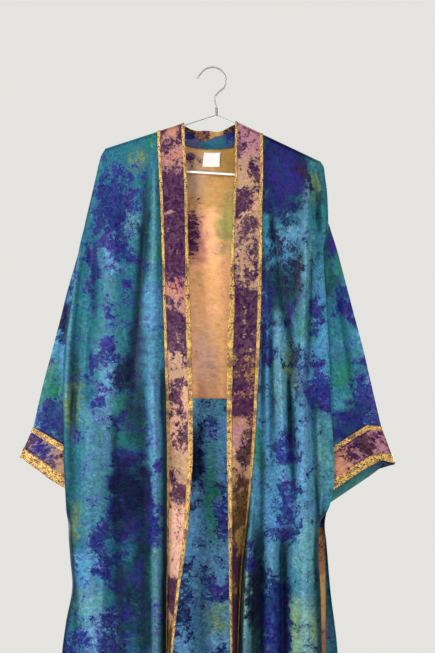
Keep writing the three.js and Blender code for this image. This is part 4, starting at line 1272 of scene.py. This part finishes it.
CUFF_SLOPE = math.radians(24)  # of the cuffs' outer edges
SLEEVE_ROUND, CUFF_ROUND = 330, 340  # length of the flat cloth all round
ON_CUFF = CUFF_SILK / 2 + EDGING / 2 + 0.15
for name, side, lip, sleeve, cuff, creases, seed, left, right in (
    ("right", -1, LIP_RIGHT, SLEEVE_RIGHT, CUFF_RIGHT, CREASES_SLEEVE_RIGHT, 31, 20, 140),
    ("left", 1, LIP_LEFT, SLEEVE_LEFT, CUFF_LEFT, CREASES_SLEEVE_LEFT, 32, 290, 410),
):
    grid = ring_points(sleeve, creases, side, lip, np.linspace(sleeve["z"][0], sleeve["z"][-1], 90))
    hidden = strewn(seed, left, 230, right, 480, 16)
    out = round_centre(grid)
    cloth(f"sleeve_{name}", grid, (0, SLEEVE_ROUND), plans["sleeves"], SILK_SHEET, out, hidden, closed=True)
    top, low = cuff["z"][0], cuff["z"][-1]
    tall = abs(low - top) / math.cos(CUFF_SLOPE)
    grid = ring_points(cuff, creases, side, lip, np.linspace(top - SEAM_GAP, low, 25))
    sheet, inside = (band_silk, "band_silk", CUFF_SILK), (plans["cuffs_inside"], cuff_facing)
    out, ends = round_centre(grid), (0, CUFF_ROUND)
    cloth(f"cuff_{name}", grid, ends, plans["cuffs"], sheet, out, closed=True, inside=inside)
    lines = []
    edges = ("seam", 0.01, CUFF_EDGING_SEAM / tall), ("hem", 1 - CUFF_EDGING_HEM / tall, 1.0)
    for edge, start, end in edges:
        strip = ring_points(cuff, creases, side, lip, mix(top, low, np.linspace(start, end, 7)))
        out = ribbon(f"cuff_edging_{edge}_{name}", strip, CUFF_ROUND, round_centre(strip), ON_CUFF, True)
        lines += [np.concatenate([out[k], out[k, :1]]) for k in LINE_AT]
    stitch_row(f"cuff_stitches_{name}", lines, gold_thread)


# ---- The hanger ----
WIRE_SIDES, PATH_STEPS = 14, 10


def tube_mesh(name, paths, radius):
    """Round wires: a circle carried along each path and closed by a face at either end."""
    points, faces, start = [], [], 0
    turn = 2 * math.pi * np.arange(WIRE_SIDES)[:, None] / WIRE_SIDES
    for path in paths:
        way = unit(np.gradient(path, axis=0))
        aside = unit(np.cross(way, REARWARD))
        up = np.cross(aside, way)
        ring = path[:, None] + radius * (aside[:, None] * np.cos(turn) + up[:, None] * np.sin(turn))
        points.append(ring.reshape(-1, 3))
        i, j = np.meshgrid(np.arange(len(path) - 1), np.arange(WIRE_SIDES), indexing="ij")
        i, j, k = i.ravel() * WIRE_SIDES, j.ravel(), (j.ravel() + 1) % WIRE_SIDES
        faces += (start + np.stack([i + j, i + WIRE_SIDES + j, i + WIRE_SIDES + k, i + k], axis=1)).tolist()
        last = start + (len(path) - 1) * WIRE_SIDES
        faces += [list(range(start, start + WIRE_SIDES)), list(range(last + WIRE_SIDES - 1, last - 1, -1))]
        start += len(path) * WIRE_SIDES
    mesh = plain_mesh(name, np.concatenate(points) * MM, faces)
    mesh.polygons.foreach_set("use_smooth", [len(face) == 4 for face in faces])
    return mesh


def through(points):
    """A smooth path through points: Catmull-Rom pieces, whose slope at a point is that of the chord past
    it."""
    p = np.concatenate([2 * points[:1] - points[1:2], points, 2 * points[-1:] - points[-2:-1]])
    a, b, c, d = (p[k : len(p) - 3 + k, None] for k in range(4))
    t = np.linspace(0, 1, PATH_STEPS, endpoint=False)[None, :, None]
    path = 0.5 * (2 * b + (c - a) * t + (2 * a - 5 * b + 4 * c - d) * t**2 + (3 * b - a - 3 * c + d) * t**3)
    return np.concatenate([path.reshape(-1, p.shape[1]), points[-1:]])


def arc(centre, radius, degrees):
    """Points of a circle in the hanger's plane."""
    turn = np.radians(degrees)
    return np.stack([centre[0] + radius * np.cos(turn), 0 * turn, centre[1] + radius * np.sin(turn)], axis=1)


HOOK_RADIUS, COLLAR_TALL = 26, 14
hook_tip = np.array([(-30.5, 0, -19.6)])
bend = arc((-2, -(HOOK_RADIUS - WIRE)), HOOK_RADIUS, np.array([150, 120, 90, 60, 30, 0, -25]))
neck = np.array([(11, 0, -45), (3.5, 0, -54), (3, 0, -64), (TWIST_X - 0.6, 0, TWIST_Z + 5 + COLLAR_TALL / 2)])
hook = through(np.concatenate([hook_tip, bend, neck]))
TWIST_TURNS, TWIST_LOW = 2.5, TWIST_Z - 2.5
turns = np.linspace(0, TWIST_TURNS * 2 * math.pi, 90)
high = np.linspace(TWIST_LOW, TWIST_Z + 4.7 + COLLAR_TALL / 2, 90)
strands = [
    np.stack([TWIST_X + WIRE * np.cos(turns + start), WIRE * np.sin(turns + start), high], axis=1)
    for start in (0, math.pi)
]
right, left = tip_centre(-1), tip_centre(1)
tilt = math.degrees(TILT)
frame_path = np.concatenate(
    [
        np.array([[TWIST_X - WIRE, 0, TWIST_LOW]]),
        arc(right, TIP_RADIUS, np.linspace(90 + math.degrees(ARM_RIGHT), 270 - tilt, 40)),
        arc(left, TIP_RADIUS, np.linspace(-90 - tilt, 90 - math.degrees(ARM_LEFT), 40)),
        np.array([[TWIST_X + WIRE, 0, TWIST_LOW]]),
    ]
)
# a white paper tube is slipped over the bar
bar_start = arc(right, TIP_RADIUS, np.array([270 - tilt]))
bar_end = arc(left, TIP_RADIUS, np.array([-90 - tilt]))
bar = mix(bar_start, bar_end, np.linspace(0.25, 0.7, 24)[:, None])
frame_nodes = ("hanger_arm_right", "hanger_arm_left", "hanger_tip_right", "hanger_tip_left", "hanger_bar")
for name, ending, paths, radius, material, nodes in (
    ("hanger_hook", "_wire", [hook], WIRE, steel, ("hanger_hook",)),
    ("hanger_twist", "", strands, WIRE * 0.98, steel, ("hanger_collar",)),
    # the frame takes the paler copy of the steel, a painted reflection of the room
    ("hanger_frame", "", [frame_path], WIRE, steel_painted_highlight, frame_nodes),
    ("hanger_bar_tube", "", [bar], WIRE + 0.7, bar_paper, ()),
):
    pieces[name] = piece(name + ending, tube_mesh(name, paths, radius), [material], nodes)

# ---- Each sheet's cut, in metres: width, length, what it rests on and what is sewn to it ----
for name, wide, long, rests, sewn in (
    ("front_right", 0.22, 1.27, "hanger_frame", "front_hem_stitches_right"),
    ("front_left", 0.2, 1.27, "hanger_frame", "front_hem_stitches_left"),
    ("back", 0.57, 1.25, "hanger_frame", "back_hem_stitches"),
    (
        "neckband_right",
        BAND_WIDTH * MM,
        1.28,
        "hanger_frame",
        "band_edging_free_right band_edging_seam_right band_stitches_right",
    ),
    (
        "neckband_left",
        BAND_WIDTH * MM,
        1.29,
        "hanger_frame",
        "band_edging_free_left band_edging_seam_left band_stitches_left",
    ),
    (
        "neckband_back",
        BAND_WIDTH * MM,
        0.21,
        "back_cloth",
        "collar_edging_seam collar_edging_top collar_stitches",
    ),
    ("neckband_back_facing", 0.03, 0.15, "neckband_back_cloth", ""),
    ("back_yoke_lining", 0.26, 0.5, "back_cloth", "lining_stitches"),
    ("neck_label", 0.033, 0.03, "back_yoke_lining_cloth", ""),
    ("slit_facing_right", 0.026, 0.48, "back_cloth", "slit_stitches_right"),
    ("slit_facing_left", 0.026, 0.48, "back_cloth", "slit_stitches_left"),
    ("sleeve_right", 0.3, 0.4, "front_right_cloth back_cloth", ""),
    ("sleeve_left", 0.3, 0.4, "front_left_cloth back_cloth", ""),
    (
        "cuff_right",
        0.38,
        0.072,
        "sleeve_right_cloth",
        "cuff_edging_seam_right cuff_edging_hem_right cuff_stitches_right",
    ),
    (
        "cuff_left",
        0.4,
        0.08,
        "sleeve_left_cloth",
        "cuff_edging_seam_left cuff_edging_hem_left cuff_stitches_left",
    ),
):
    # the neckband behind the neck is cut wider at its seam than at its loose edge
    parts, rests = [pieces[key] for key in sewn.split()], rests.split()

# ---- Room, light and camera ----
paper = blank("Painted_floor_pale")
grit = add(paper, NOISE, add(paper, OBJECT_PLACE), 9, 3)
surfaced(paper, add(paper, MIX, grit, "#dcdad6", "#e6e4e0"), 0.9)
REACH, LEVEL = 1.6, -1.6
corners = np.array([(x * REACH, y * REACH, LEVEL) for x, y in ((-1, -1), (1, -1), (1, 1), (-1, 1))])
floor_mesh = plain_mesh("floor", corners, [(0, 1, 2, 3)])
floor_mesh.materials.append(paper)
placed("floor", floor_mesh)

world = bpy.data.worlds.new("Pale_room")
world.use_nodes = True
paint = world.node_tree.nodes["Background"]
paint.inputs["Color"].default_value = linear("#f3f2ee")
SHINED, SEEN = 0.28, 0.87  # the room's strength as a light, and as the camera sees it
glow = add(world, MIX_NUMBERS, add(world, CAMERA_RAY), SHINED, SEEN)
world.node_tree.links.new(glow, paint.inputs["Strength"])
bpy.context.scene.world = world

for name, place, aim_z, size, power in (
    ("key", (-1.9, -1.6, -0.1), -0.7, 1.0, 60),
    ("fill", (1.9, -1.9, -1.0), -0.75, 1.2, 24),
    ("front", (0.3, -2.5, 0.5), -0.6, 0.8, 22),
    ("rear_key", (1.9, 1.6, -0.1), -0.7, 1.0, 60),
    ("rear_fill", (-1.9, 1.9, -0.9), -0.75, 1.2, 26),
):
    # a square area light, in metres and watts, turned to its aim on the robe's middle line
    light = bpy.data.lights.new(name, "AREA")
    light.size, light.energy = size, power
    softbox = placed(name, light)
    way = np.array((0, 0, aim_z)) - np.array(place)
    softbox.location = place
    softbox.rotation_euler = (math.atan2(math.hypot(way[0], way[1]), -way[2]), 0, math.atan2(-way[0], way[1]))
    softbox.visible_camera = False

CENTRE_X, CENTRE_Z, SEEN_HEIGHT, DISTANCE = 0.0076, -0.491, 1.2407, 2.4
camera = bpy.data.cameras.new("camera")
camera.sensor_fit, camera.sensor_height = "VERTICAL", 36
camera.lens = camera.sensor_height * DISTANCE / SEEN_HEIGHT
eye = placed("camera", camera)
eye.location = (CENTRE_X, -DISTANCE, CENTRE_Z)
eye.rotation_euler = (math.pi / 2, 0, 0)
bpy.context.scene.camera = eye
bpy.context.scene.view_settings.view_transform = "Standard"
